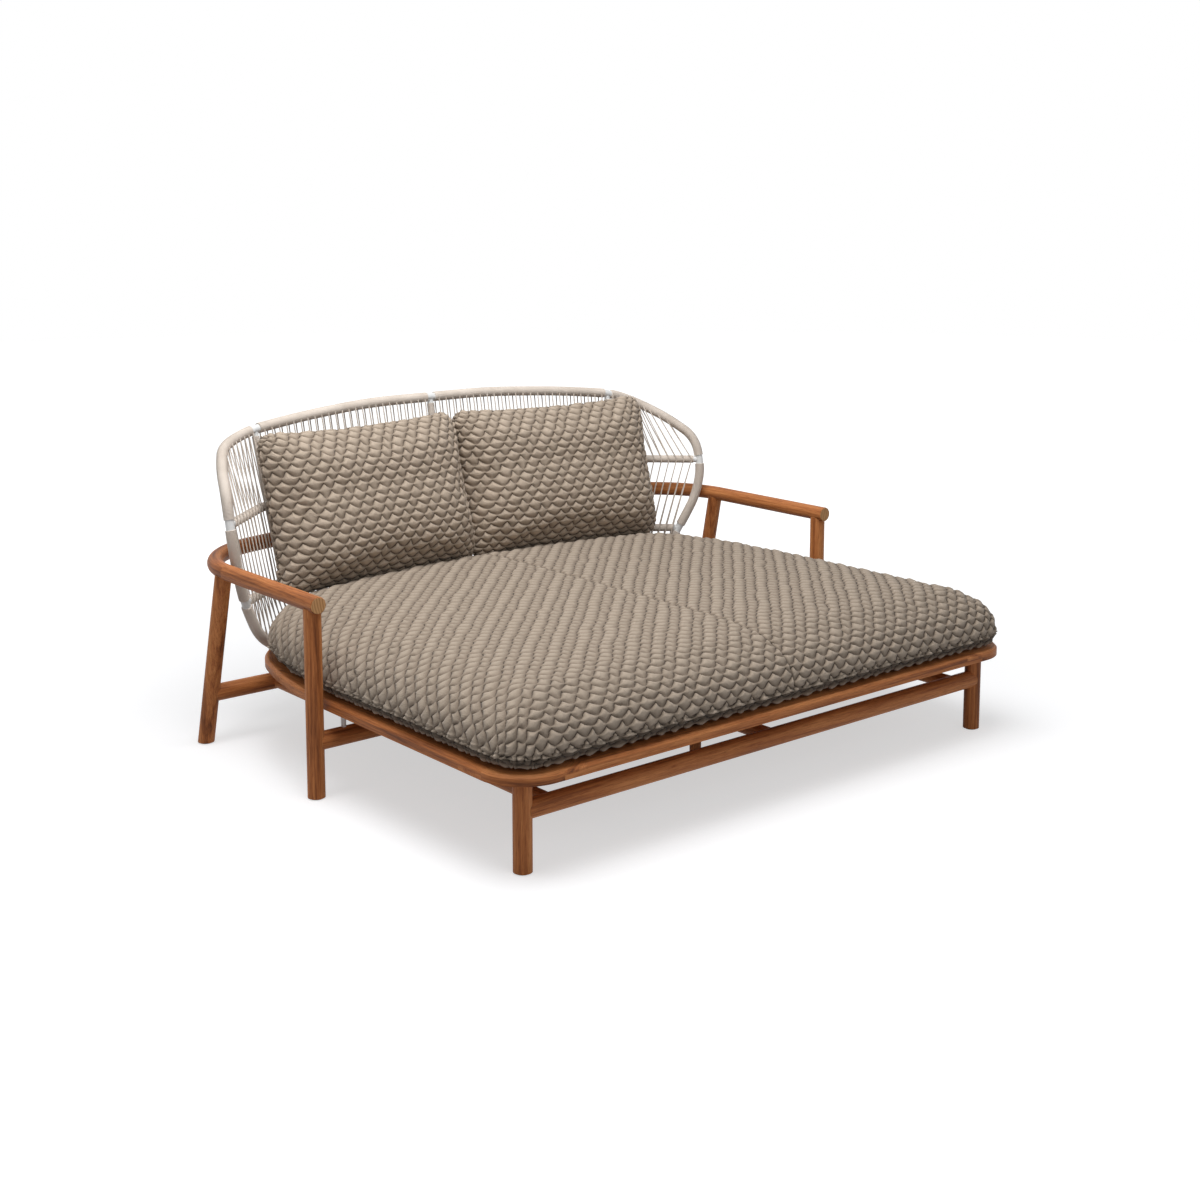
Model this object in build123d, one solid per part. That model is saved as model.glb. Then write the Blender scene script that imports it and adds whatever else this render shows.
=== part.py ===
"""Teak daybed: a low round-cornered seat ring on seven turned legs, a bent teak
arm and back rail, a corded aluminium back, a mattress and two loose cushions.

Millimetres. The front faces -Y, +Z is up, left is -X. The origin lies on the
floor under the middle of the whole piece.
"""

from build123d import *
import math
import os

# One overrun for every cut, and the clearances between pieces
overrun = 6.0
joint_gap = 0.2
soft_gap = 0.3

# Round teak bars
leg_r = 24.0
arm_r = 23.5
cross_rail_r = 25.0
side_rail_r = 20.0
centre_leg_r = 16.5
rail_z = 155.0
tenon_r = 10.0
tenon_length = 22.0
leg_tenon_r = 12.0
leg_tenon_length = 16.0
cope_share = 0.3

# Feet
glide_r = 18.0
glide_height = 3.0
centre_glide_r = 13.0

# Where the legs stand
front_leg_inset = 120.0
front_leg_y = -773.0
arm_leg_y = -22.0
rear_leg_top_y = 470.0
rear_leg_lean = 118.0
rear_leg_splay = 14.0
centre_leg_y = -465.0
side_rail_inset = 85.0

# Bent teak arms and back rail
arm_x = 970.0
arm_z = 533.0
arm_front_y = -55.0
arm_corner_r = 315.0
arm_end_round = 3.0
back_rail_y = 840.0
back_rail_bow_r = 2960.0
rail_dowel_r = 9.0
rail_dowel_length = 40.0

# Seat ring
ring_z = 236.5
ring_thickness = 26.0
ring_width = 95.0
ring_ledge = 15.0
ring_bevel = 7.0
ring_side_overhang = 88.0
ring_front_overhang = 83.0
ring_front_corner_r = 127.0
ring_side_bow_r = 1450.0
ring_rear_corner_r = 330.0
ring_rear_bow_r = 2230.0
ring_back_gap = 12.0
least_corner_r = 32.0
ring_lap = 70.0
ring_front_joint = 60.0
ring_side_joint_y = 300.0
ring_rear_joint_x = 480.0

# Deck inside the ring
slat_thickness = 12.0
slat_width = 60.0
slat_gap = 12.0
bearer_width = 40.0
bearer_x = 450.0
bearer_seat = 20.0
post_r = 7.0
post_flange_r = 15.0
post_flange_thickness = 3.0
post_socket = 9.0
post_side_inset = 88.0
post_rear_inset = 250.0
post_front_y = -715.0

# Corded back: bent tubes, their cord wraps and the strung cords
hoop_tube_r = 13.0
hoop_wrap_r = 16.5
rib_tube_r = 10.0
rib_wrap_r = 12.5
rail_tube_r = 11.0
rail_wrap_r = 14.0
wrap_gap = 0.1
bare_reach = 15.0
bare_end = 20.0
stub_reach = 60.0
hoop_inset = 49.0
hoop_rear_y = 845.0
hoop_wing_y = 503.0
hoop_top_z = 921.0
rib_bend_r = 150.0
middle_rail_z = 655.0
middle_knee_inset = 231.0
middle_knee_y = 724.0
middle_bow_y = 815.0
lower_rail_z = 409.0
lower_knee_inset = 301.0
lower_knee_y = 736.0
lower_bow_y = 806.0
knee_bend_r = 250.0
bow_bend_r = 2300.0
rib_top_inset = 218.0
rib_middle_inset = 233.0
rib_lower_inset = 280.0
rib_foot_inset = 346.0
cord_width = 3.6
cords_inside = 24
cords_outside = 11
cord_gap = 0.55
outer_cord_top_inset = 28.0
outer_cord_foot_inset = 71.0

# Each arc of the hoop takes this share of the shorter of its two runs
arc_run_share = 0.45

# Between which shares of the right half of the hoop its side and its hip lie, and
# after which share the top of the side rib
side_shares = (0.2, 0.6)
hip_shares = (0.4, 0.8)
rib_top_share = 0.1
halfway_share = 0.5

# Plates that hold the back to the ring, and the bolts through the back rail
foot_plate_thickness = 5.0
foot_plate_width = 36.0
foot_plate_reach = 55.0
bolt_r = 4.0
bolt_head_r = 8.0
bolt_head_height = 4.0
screw_r = 3.0
screw_head_r = 6.0
screw_head_height = 2.5
screw_length = 20.0

# Mattress
mattress_grow = 2.0
mattress_front = 863.5
mattress_height = 172.0
mattress_seam_height = 38.0
mattress_tuck = 14.0
mattress_tuck_round = 3.5
mattress_shoulder = 130.0
mattress_shoulder_drop = 13.0
mattress_crown_inset = 290.0
mattress_corner_r = 112.0
seam_width = 4.0
seam_depth = 6.0

# The mattress's shoulder, as shares of its inset and of its rise above the seam
shoulder_shares = [(0.03, 0.25), (0.13, 0.52), (0.37, 0.8), (0.66, 0.95), (1, 1)]

# Back cushions
cushion_side_inset = 185.0
cushion_apart = 16.0
cushion_height = 478.0
cushion_front_depth = 98.0
cushion_back_depth = 62.0
cushion_corner_r = 42.0
cushion_draw_in = 9.0
cushion_crown_inset = 195.0
cushion_y = 662.0
cushion_lean = 8.0
cushion_turn = 5.4

# The cushion's crown behind and in front of its seam, as shares of its inset and
# of its depth, and the most of its half height that a corner may take
cushion_back_shares = [(0.95, 1), (0.45, 0.85), (0.1, 0.45)]
cushion_front_shares = [(0.05, 0.34), (0.19, 0.62), (0.42, 0.84), (0.7, 0.96), (1, 1)]
cushion_corner_share = 0.8

# How far the middle of a quarter round lies inside its corner, over its radius
quarter_share = 0.293

# Whole quarters and halves of a turn, in degrees, and the steps of the two searches
quarter_turn = 90
half_turn = 180
halving_steps = 24
settling_steps = 12

# Places that follow from the sizes above
front_leg_x = arm_x - front_leg_inset
side_rail_x = front_leg_x - side_rail_inset
post_side_x = arm_x - post_side_inset
post_rear_x = arm_x - post_rear_inset
hoop_half_width = arm_x - hoop_inset
cushion_width = hoop_half_width - cushion_side_inset
cushion_middle_x = (cushion_width + cushion_apart) / 2
ring_top = ring_z + ring_thickness
ledge_z = ring_top - slat_thickness
ring_half_width = front_leg_x + ring_side_overhang
ring_front_y = front_leg_y - ring_front_overhang
hoop_low_z = ring_z - foot_plate_thickness - hoop_tube_r
middle_knee_x = hoop_half_width - middle_knee_inset
lower_knee_x = hoop_half_width - lower_knee_inset
rib_top_x = hoop_half_width - rib_top_inset
rib_middle_x = hoop_half_width - rib_middle_inset
rib_lower_x = hoop_half_width - rib_lower_inset
rib_foot_x = hoop_half_width - rib_foot_inset
outer_cord_top_x = hoop_half_width - outer_cord_top_inset
outer_cord_foot_x = hoop_half_width - outer_cord_foot_inset

# The back hoop, right half from the top middle to the bottom middle: shares of
# its half width, of the sweep from its rear to its wings, and of its height
hoop_shares = [
    (0.000, 0.000, 1.000),
    (0.260, 0.000, 1.000),
    (0.560, 0.155, 0.979),
    (0.785, 0.262, 0.947),
    (0.893, 0.315, 0.895),
    (0.957, 0.615, 0.822),
    (1.001, 0.920, 0.731),
    (1.005, 1.003, 0.585),
    (0.985, 0.985, 0.440),
    (0.938, 0.865, 0.270),
    (0.866, 0.755, 0.090),
    (0.745, 0.590, 0.000),
    (0.330, 0.270, 0.000),
    (0.000, 0.270, 0.000),
]


def rod(start, end, radius):
    """A round bar from one point to another."""
    start, end = Vector(*start), Vector(*end)
    plane = Plane(origin=start, z_dir=end - start)
    return Solid.make_cylinder(radius, (end - start).length, plane)


def block(low, high):
    """A box between its lowest and highest corners."""
    size = Vector(*high) - Vector(*low)
    return Solid.make_box(size.X, size.Y, size.Z, Plane(origin=Vector(*low)))


def twin(shape):
    """The same piece on the other side of the daybed."""
    return shape.mirror(Plane.YZ)


def save(name, *shapes):
    """Write one named piece, or one group of like pieces."""
    solids = [solid for shape in shapes for solid in shape.solids()]
    whole = solids[0] if len(solids) == 1 else Compound(solids)
    whole.label = name
    export_step(whole, os.path.join("parts", name + ".step"))


def save_pair(name, right):
    """Write a right-hand piece and its left-hand twin."""
    save(name + "_left", twin(right))
    save(name + "_right", right)


def toward(start, end, distance):
    """The point that lies a distance from start on the way to end."""
    start, end = Vector(*start), Vector(*end)
    return start + (end - start).normalized() * distance


def bent_path(points, radii):
    """Straight runs joined by tangent arcs."""
    return Wire(FilletPolyline(*points, radius=radii).edges())


def tube_along(path, radius, inner=0.0):
    """A round tube, or a solid bar, along a path."""
    plane = Plane(origin=path @ 0, z_dir=path % 0)
    section = Circle(radius) - Circle(inner) if inner else Circle(radius)
    return sweep(plane * section, path=path)


def place_on(path, value, axis, low, high):
    """The share of a path's length, between low and high, where one of its
    coordinates reaches a value, found by halving."""
    rising = getattr(path @ high, axis) > getattr(path @ low, axis)
    for _ in range(halving_steps):
        middle = (low + high) / 2
        if (getattr(path @ middle, axis) < value) == rising:
            low = middle
        else:
            high = middle
    return (low + high) / 2


def circles_meet(first, first_r, second, second_r):
    """The meeting point, furthest to +X, of two circles in plan."""
    first, second = Vector(*first), Vector(*second)
    apart = second - first
    along = (apart.length**2 + first_r**2 - second_r**2) / (2 * apart.length)
    aside = math.sqrt(first_r**2 - along**2)
    unit = apart.normalized()
    points = [first + unit * along + Vector(-unit.Y, unit.X) * aside * side for side in (1, -1)]
    return max(points, key=lambda point: point.X)


def bearing(start, end):
    """The compass of the way from start to end, in degrees from +X."""
    way = Vector(*end) - Vector(*start)
    return math.degrees(math.atan2(way.Y, way.X))


# Plan of the bent arms and back rail: a corner arc between a straight arm and a bowed rail
arm_corner_x = arm_x - arm_corner_r
bow_centre_y = back_rail_y - back_rail_bow_r
bow_minus_corner = back_rail_bow_r - arm_corner_r
arm_corner_y = bow_centre_y + math.sqrt(bow_minus_corner**2 - arm_corner_x**2)
arm_corner = Vector(arm_corner_x, arm_corner_y, arm_z)
bow_centre = Vector(0, bow_centre_y, arm_z)
rail_joint = bow_centre + (arm_corner - bow_centre) * (back_rail_bow_r / bow_minus_corner)

# Rear legs lean forward and inward from their feet up to the arm
rear_leg_rise = rear_leg_top_y - arm_corner_y
rear_leg_top = Vector(
    arm_corner_x + math.sqrt(arm_corner_r**2 - rear_leg_rise**2), rear_leg_top_y, arm_z
)
rear_leg_foot = rear_leg_top + Vector(rear_leg_splay, rear_leg_lean, -arm_z)


def rear_leg_at(height):
    """The middle of the right rear leg at a height."""
    return rear_leg_foot + (rear_leg_top - rear_leg_foot) * (height / arm_z)


rear_rail_y = rear_leg_at(rail_z).Y
rear_rail_x = rear_leg_at(rail_z).X

# The corners of the right half of the back's hoop
hoop_points = [
    (
        hoop_half_width * x_share,
        hoop_rear_y - (hoop_rear_y - hoop_wing_y) * y_share,
        hoop_low_z + (hoop_top_z - hoop_low_z) * z_share,
    )
    for x_share, y_share, z_share in hoop_shares
]


def arc_radii(points):
    """For each corner, the radius of an arc that takes its share of the shorter run."""
    radii = []
    for before, corner, after in zip(points, points[1:], points[2:]):
        arriving = Vector(*corner) - Vector(*before)
        leaving = Vector(*after) - Vector(*corner)
        run = min(arriving.length, leaving.length)
        turn = math.radians(arriving.get_angle(leaving))
        radii.append(arc_run_share * run / math.tan(turn / 2))
    return radii


hoop_path = bent_path(hoop_points, arc_radii(hoop_points))
hoop_side = place_on(hoop_path, middle_rail_z, "Z", *side_shares)
hoop_hip = place_on(hoop_path, lower_rail_z, "Z", *hip_shares)
hoop_rib_top = place_on(hoop_path, rib_top_x, "X", rib_top_share, hoop_side)
hoop_rib_foot = place_on(hoop_path, rib_foot_x, "X", hoop_hip, 1)
ring_rear_y = (hoop_path @ 1).Y - hoop_wrap_r - ring_back_gap

# Plan of the seat ring: centres of its arcs
side_centre = Vector(ring_half_width - ring_side_bow_r, arm_leg_y)
rear_centre = Vector(0, ring_rear_y - ring_rear_bow_r)
corner_centre = circles_meet(
    side_centre,
    ring_side_bow_r - ring_rear_corner_r,
    rear_centre,
    ring_rear_bow_r - ring_rear_corner_r,
)
corner_start = bearing(side_centre, corner_centre)
corner_end = bearing(rear_centre, corner_centre)


def seat_outline(grow, height, front=-ring_front_y, front_r=ring_front_corner_r):
    """The plan of the seat at a height, larger all round by grow."""
    half = ring_half_width + grow
    nose = -front - grow
    corner_r = max(front_r + grow, least_corner_r)
    side_r = ring_side_bow_r + grow
    rear_r = ring_rear_corner_r + grow
    right = [
        CenterArc((half - corner_r, nose + corner_r), corner_r, -quarter_turn, quarter_turn),
        Line((half, nose + corner_r), (half, arm_leg_y)),
        CenterArc(side_centre, side_r, 0, corner_start),
        CenterArc(corner_centre, rear_r, corner_start, corner_end - corner_start),
    ]
    left = [edge.mirror(Plane.YZ) for edge in right]
    front_edge = Line((corner_r - half, nose), (half - corner_r, nose))
    rear_turn = half_turn - 2 * corner_end
    rear_edge = CenterArc(rear_centre, ring_rear_bow_r + grow, corner_end, rear_turn)
    outline = Wire([front_edge] + right + [rear_edge] + left)
    return outline.moved(Location((0, 0, height)))


def seat_plate(grow, low, high):
    """A flat plate of the seat's plan between two heights."""
    return extrude(Face(seat_outline(grow, low)), amount=high - low, dir=(0, 0, 1))


def outline_y_at(x, grow):
    """Where the rear edge of the seat's plan lies, at a distance from the middle."""
    return rear_centre.Y + math.sqrt((ring_rear_bow_r + grow) ** 2 - x**2)


def front_leg():
    """A turned leg with a round tenon up into the ring's corner."""
    foot = (front_leg_x, front_leg_y, glide_height)
    head = (front_leg_x, front_leg_y, ring_z)
    tenon_end = (front_leg_x, front_leg_y, ring_z + leg_tenon_length)
    leg = rod(foot, head, leg_r) + rod(head, tenon_end, leg_tenon_r)
    return leg - rail_mortise((front_leg_x, front_leg_y, rail_z), (-1, 0, 0), leg_r)


def rail_mortise(middle, way, bar_r):
    """The bore that a rail's tenon enters, sunk into a bar from its surface."""
    middle, way = Vector(*middle), Vector(*way)
    mouth = middle + way * (bar_r + overrun)
    end = middle + way * (bar_r - tenon_length - joint_gap)
    return rod(mouth, end, tenon_r + joint_gap)


def rail_between(start, end, rail_r, start_r, end_r):
    """A round rail with coped ends seated on two bars, and a tenon at each end.
    The cutters that shape the ends follow with cope()."""
    start, end = Vector(*start), Vector(*end)
    body = rod(
        toward(start, end, start_r * cope_share), toward(end, start, end_r * cope_share), rail_r
    )
    tenons = (
        toward(start, end, start_r - tenon_length),
        toward(end, start, end_r - tenon_length),
    )
    return body, rod(tenons[0], tenons[1], tenon_r)


def cope(rail, *bars):
    """Cut a rail's body against the bars that it butts on, then add its tenons."""
    body, tenons = rail
    for bar in bars:
        body = body - bar
    return body + tenons


def upright(x, y, radius):
    """The full-height cylinder of an upright leg, for coping and boring."""
    return rod((x, y, 0), (x, y, arm_z), radius)


def arm_path():
    """The right arm: straight from its front end, then round the corner."""
    straight = Line((arm_x, arm_front_y, arm_z), (arm_x, arm_corner_y, arm_z))
    turn = bearing(bow_centre, arm_corner)
    corner = CenterArc(arm_corner, arm_corner_r, 0, turn)
    return Wire([straight, corner])


def back_rail_path():
    """The bowed back rail between the two arms."""
    turn = bearing(bow_centre, arm_corner)
    return Wire([CenterArc(bow_centre, back_rail_bow_r, turn, half_turn - 2 * turn)])


def arm_leg():
    """An upright leg whose head is scooped to carry the arm, with a tenon into it."""
    body = rod((arm_x, arm_leg_y, glide_height), (arm_x, arm_leg_y, arm_z), leg_r)
    body = body - rod(
        (arm_x, arm_leg_y - leg_r - overrun, arm_z),
        (arm_x, arm_leg_y + leg_r + overrun, arm_z),
        arm_r + joint_gap,
    )
    tenon_top = arm_z - arm_r + leg_tenon_length
    tenon = rod(
        (arm_x, arm_leg_y, arm_z - arm_r - leg_r), (arm_x, arm_leg_y, tenon_top), leg_tenon_r
    )
    body = lower_part(body, arm_z - leg_tenon_r) + tenon
    return body - rail_mortise((arm_x, arm_leg_y, rail_z), (-1, 0, 0), leg_r)


def lower_part(shape, height):
    """The solid of a shape that starts lowest, without what lies above a height."""
    cutter_half = 2 * leg_r + rear_leg_lean
    box = shape.bounding_box()
    low = (box.min.X - cutter_half, box.min.Y - cutter_half, height)
    high = (box.max.X + cutter_half, box.max.Y + cutter_half, height + 2 * leg_r + leg_tenon_r)
    kept = shape - block(low, high)
    return min(kept.solids(), key=lambda solid: solid.bounding_box().min.Z)


def rear_leg():
    """A leaning leg, cut flat at the foot and scooped under the arm."""
    beyond = toward(rear_leg_foot, rear_leg_top, -leg_r)
    body = rod(beyond, rear_leg_top, leg_r)
    foot_box = rear_leg_foot - Vector(3 * leg_r, 3 * leg_r, 3 * leg_r)
    foot_top = rear_leg_foot + Vector(3 * leg_r, 3 * leg_r, glide_height)
    body = body - block(foot_box, foot_top)
    body = body - tube_along(arm_path(), arm_r + joint_gap)
    body = lower_part(body, arm_z - leg_tenon_r)
    tenon_start = toward(rear_leg_top, rear_leg_foot, arm_r + leg_r)
    tenon_end = toward(rear_leg_top, rear_leg_foot, arm_r - leg_tenon_length)
    body = body + rod(tenon_start, tenon_end, leg_tenon_r)
    return body - rail_mortise(rear_leg_at(rail_z), (-1, 0, 0), leg_r)


def arm():
    """The right arm, bored for its two legs and for the dowel of the back rail."""
    bar = tube_along(arm_path(), arm_r)
    front_face = bar.faces().sort_by(Axis.Y)[0]
    bar = fillet(front_face.edges(), arm_end_round)
    bore_r = leg_tenon_r + joint_gap
    bore_top = arm_z - arm_r + leg_tenon_length + joint_gap
    bar = bar - rod((arm_x, arm_leg_y, arm_z - arm_r - overrun), (arm_x, arm_leg_y, bore_top), bore_r)
    bore_start = toward(rear_leg_top, rear_leg_foot, arm_r + overrun)
    bore_end = toward(rear_leg_top, rear_leg_foot, arm_r - leg_tenon_length - joint_gap)
    bar = bar - rod(bore_start, bore_end, bore_r)
    return bar - rail_dowel(rail_dowel_r + joint_gap, rail_dowel_length + joint_gap)


def rail_dowel(radius, length):
    """The dowel that joins the right arm and the back rail, or its bore."""
    along = (arm_path() % 1).normalized()
    return rod(rail_joint - along * length, rail_joint + along * length, radius)


def back_rail(rib_paths):
    """The bowed rail, notched where the ribs of the back lie against it."""
    bar = tube_along(back_rail_path(), arm_r)
    dowel = rail_dowel(rail_dowel_r + joint_gap, rail_dowel_length + joint_gap)
    bar = bar - dowel - twin(dowel)
    for path in rib_paths:
        bar = bar - tube_along(path, rib_wrap_r + joint_gap)
    for rib in rib_bolts(joint_gap):
        bar = bar - rib
    return bar


def stepped(low_from, low_to, high_from, high_to):
    """Two stacked blocks, which leave a half lap where they differ in plan."""
    middle = ring_z + ring_thickness / 2
    lower = block((*low_from, ring_z - overrun), (*low_to, middle))
    upper = block((*high_from, middle), (*high_to, ring_top + overrun))
    return lower + upper


def seat_ring():
    """The whole ring, with its bevelled edge and the ledge that carries the slats."""
    inside = seat_plate(-ring_width, ring_z - overrun, ring_top + overrun)
    ring = seat_plate(0, ring_z, ring_top) - inside
    top = ring.faces().sort_by(Axis.Z)[-1]
    ring = chamfer(top.outer_wire().edges(), ring_bevel)
    ring = ring - seat_plate(ring_ledge - ring_width, ledge_z, ring_top + overrun)
    for x, low_y, high_y in bearer_places():
        half = bearer_width / 2 + joint_gap
        ring = ring - block(
            (x - half, low_y - joint_gap, ring_z - overrun), (x + half, high_y + joint_gap, ledge_z)
        )
    return ring


def ring_pieces():
    """The ring cut into its eight bars, joined by half laps."""
    ring = seat_ring()
    half = ring_lap / 2
    far = 2 * ring_half_width
    front_x = ring_half_width - ring_front_corner_r - ring_front_joint
    front_y = ring_front_y + ring_front_corner_r + ring_front_joint
    side_y = ring_side_joint_y
    rear_x = ring_rear_joint_x
    front = ring & stepped(
        (-front_x - half, -far), (front_x + half, 0),
        (half - front_x, -far), (front_x - half, 0),
    )
    corner = ring & stepped(
        (front_x + half + joint_gap, -far), (far, front_y + half),
        (front_x - half + joint_gap, -far), (far, front_y - half),
    )
    side = ring & stepped(
        (0, front_y + half + joint_gap), (far, side_y + half),
        (0, front_y - half + joint_gap), (far, side_y - half),
    )
    rear_corner = ring & stepped(
        (rear_x + half + joint_gap, side_y + half + joint_gap), (far, far),
        (rear_x - half + joint_gap, side_y - half + joint_gap), (far, far),
    )
    rear = ring & stepped(
        (-rear_x - half, 0), (rear_x + half, far),
        (half - rear_x, 0), (rear_x - half, far),
    )
    leg_bore = rod(
        (front_leg_x, front_leg_y, ring_z - overrun),
        (front_leg_x, front_leg_y, ring_z + leg_tenon_length + joint_gap),
        leg_tenon_r + joint_gap,
    )
    return front, corner - leg_bore, side, rear_corner, rear


def bearer_places():
    """For each bearer under the slats: its x, and where it starts and ends."""
    front = ring_front_y + ring_width - bearer_seat
    for x in (-bearer_x, 0, bearer_x):
        yield x, front, outline_y_at(abs(x), -ring_width) + bearer_seat


def bearers():
    """Three flat bars, let into the front and rear of the ring."""
    half = bearer_width / 2
    return [
        block((x - half, low_y, ring_z), (x + half, high_y, ledge_z))
        for x, low_y, high_y in bearer_places()
    ]


def slats():
    """Teak slats side to side, lying on the ring's ledge and on the bearers."""
    field = seat_plate(ring_ledge - ring_width - joint_gap, ledge_z, ring_top)
    box = field.bounding_box()
    pitch = slat_width + slat_gap
    count = int((box.size.Y + slat_gap) // pitch)
    start = box.min.Y + (box.size.Y + slat_gap - count * pitch) / 2
    pieces = []
    for index in range(count):
        low_y = start + index * pitch
        strip = block(
            (box.min.X - overrun, low_y, ledge_z - overrun),
            (box.max.X + overrun, low_y + slat_width, ring_top + overrun),
        )
        pieces.append(field & strip)
    return pieces


def post_places():
    """Foot and bar radius of each aluminium post between the rails and the deck."""
    yield (0, post_front_y), side_rail_r
    for x in (-post_side_x, -bearer_x, 0, bearer_x, post_side_x):
        yield (x, arm_leg_y), cross_rail_r
    for x in (-post_rear_x, -bearer_x, 0, bearer_x, post_rear_x):
        yield (x, rear_rail_y), cross_rail_r


def post(place, bar_r):
    """A round post set in a rail, with a flange under the deck."""
    foot = rail_z + bar_r - post_socket
    stem = rod((*place, foot), (*place, ring_z), post_r)
    flange = rod((*place, ring_z - post_flange_thickness), (*place, ring_z), post_flange_r)
    return stem + flange


def post_socket_bore(place, bar_r):
    """The hole in a rail that a post stands in."""
    foot = rail_z + bar_r - post_socket - joint_gap
    return rod((*place, foot), (*place, ring_z), post_r + joint_gap)


def post_bores(along_y=None, on_centre=False):
    """The holes for every post that stands on one rail."""
    for place, bar_r in post_places():
        if place[1] == along_y or (on_centre and place[1] == post_front_y):
            yield post_socket_bore(place, bar_r)


def cross_rail(x, y, leg):
    """A rail from side to side, seated on a right leg and on its left-hand twin."""
    rail = rail_between((-x, y, rail_z), (x, y, rail_z), cross_rail_r, leg_r, leg_r)
    return cope(rail, leg, twin(leg))


def cross_rails():
    """The three rails from side to side, bored for what joins them."""
    seat_r = leg_r + joint_gap
    front = cross_rail(front_leg_x, front_leg_y, upright(front_leg_x, front_leg_y, seat_r))
    middle = cross_rail(arm_x, arm_leg_y, upright(arm_x, arm_leg_y, seat_r))
    rear = cross_rail(rear_rail_x, rear_rail_y, rod(rear_leg_foot, rear_leg_top, seat_r))
    for x in (-side_rail_x, 0, side_rail_x):
        front = front - rail_mortise((x, front_leg_y, rail_z), (0, 1, 0), cross_rail_r)
        middle = middle - rail_mortise((x, arm_leg_y, rail_z), (0, 1, 0), cross_rail_r)
        middle = middle - rail_mortise((x, arm_leg_y, rail_z), (0, -1, 0), cross_rail_r)
        rear = rear - rail_mortise((x, rear_rail_y, rail_z), (0, -1, 0), cross_rail_r)
    for bore in post_bores(arm_leg_y):
        middle = middle - bore
    for bore in post_bores(rear_rail_y):
        rear = rear - bore
    return front, middle, rear


def long_rails(x):
    """The front and the rear rail that run from front to back at a distance x."""
    ends = (front_leg_y, arm_leg_y, rear_rail_y)
    reach = side_rail_r + overrun
    bars = [
        rod((x - reach, y, rail_z), (x + reach, y, rail_z), cross_rail_r + joint_gap) for y in ends
    ]
    pieces = []
    for index in (0, 1):
        start, end = (x, ends[index], rail_z), (x, ends[index + 1], rail_z)
        rail = rail_between(start, end, side_rail_r, cross_rail_r, cross_rail_r)
        pieces.append(cope(rail, bars[index], bars[index + 1]))
    return pieces


def centre_leg_tenon(radius, length):
    """The round tenon from the centre leg up into the centre rail, or its bore."""
    top = rail_z - side_rail_r + length
    return rod((0, centre_leg_y, rail_z - 2 * side_rail_r), (0, centre_leg_y, top), radius)


def centre_leg():
    """The short leg under the middle of the front rail."""
    body = rod((0, centre_leg_y, glide_height), (0, centre_leg_y, rail_z), centre_leg_r)
    reach = centre_leg_r + overrun
    body = body - rod(
        (0, centre_leg_y - reach, rail_z), (0, centre_leg_y + reach, rail_z), side_rail_r + joint_gap
    )
    return body + centre_leg_tenon(tenon_r - joint_gap, leg_tenon_length)


def glides():
    """A hard foot under each leg."""
    places = [(front_leg_x, front_leg_y), (arm_x, arm_leg_y), (rear_leg_foot.X, rear_leg_foot.Y)]
    feet = [rod((x, y, 0), (x, y, glide_height), glide_r) for x, y in places]
    centre = rod((0, centre_leg_y, 0), (0, centre_leg_y, glide_height), centre_glide_r)
    return feet + [twin(foot) for foot in feet] + [centre]


def rail_path(height, side_share, knee_x, knee_y, bow_y):
    """A back rail from hoop side to hoop side: two flanks, two knees and a bow."""
    side = hoop_path @ side_share
    points = [
        (-side.X, side.Y, height),
        (-knee_x, knee_y, height),
        (0, bow_y, height),
        (knee_x, knee_y, height),
        (side.X, side.Y, height),
    ]
    return bent_path(points, [knee_bend_r, bow_bend_r, knee_bend_r])


middle_rail_path = rail_path(middle_rail_z, hoop_side, middle_knee_x, middle_knee_y, middle_bow_y)
lower_rail_path = rail_path(lower_rail_z, hoop_hip, lower_knee_x, lower_knee_y, lower_bow_y)


def on_rail(path, x):
    """Where a back rail passes a distance to the right of the middle, and its way."""
    share = place_on(path, x, "X", halfway_share, 1)
    return path @ share, path % share


def on_hoop(share):
    """A point of the hoop and its way there."""
    return hoop_path @ share, hoop_path % share


def rib_path(top_x):
    """A rib from the hoop's top to its bottom, past both back rails."""
    if top_x == 0:
        points = [
            hoop_path @ 0,
            middle_rail_path @ halfway_share,
            lower_rail_path @ halfway_share,
            hoop_path @ 1,
        ]
        points = [Vector(0, point.Y, point.Z) for point in points]
    else:
        points = [
            hoop_path @ hoop_rib_top,
            on_rail(middle_rail_path, rib_middle_x)[0],
            on_rail(lower_rail_path, rib_lower_x)[0],
            hoop_path @ hoop_rib_foot,
        ]
    return bent_path(points, [rib_bend_r, rib_bend_r])


centre_rib_path = rib_path(0)
side_rib_path = rib_path(rib_top_x)


def hoop():
    """The bent tube round the back, whole."""
    right = tube_along(hoop_path, hoop_tube_r)
    return right + twin(right)


def rib(path, hoop_solid):
    """A rib between the hoop's top and bottom, its ends cut to fit the tube."""
    return max((tube_along(path, rib_tube_r) - hoop_solid).solids(), key=lambda solid: solid.volume)


def rail_tube(path, cutters):
    """A back rail, cut to fit the hoop at its ends and the ribs that pass through it."""
    rail = tube_along(path, rail_tube_r)
    for cutter in cutters:
        rail = rail - cutter
    return max(rail.solids(), key=lambda solid: solid.volume)


def bare_sleeve(path, share, radius, reach=bare_reach):
    """A short fat cylinder round a path, which leaves the tube bare there."""
    middle, way = path @ share, (path % share).normalized()
    return rod(middle - way * reach, middle + way * reach, radius)


def stub(path, share, radius):
    """A short straight cylinder along a path, to cut what meets the tube there."""
    middle, way = path @ share, (path % share).normalized()
    return rod(middle - way * stub_reach, middle + way * stub_reach, radius)


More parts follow.
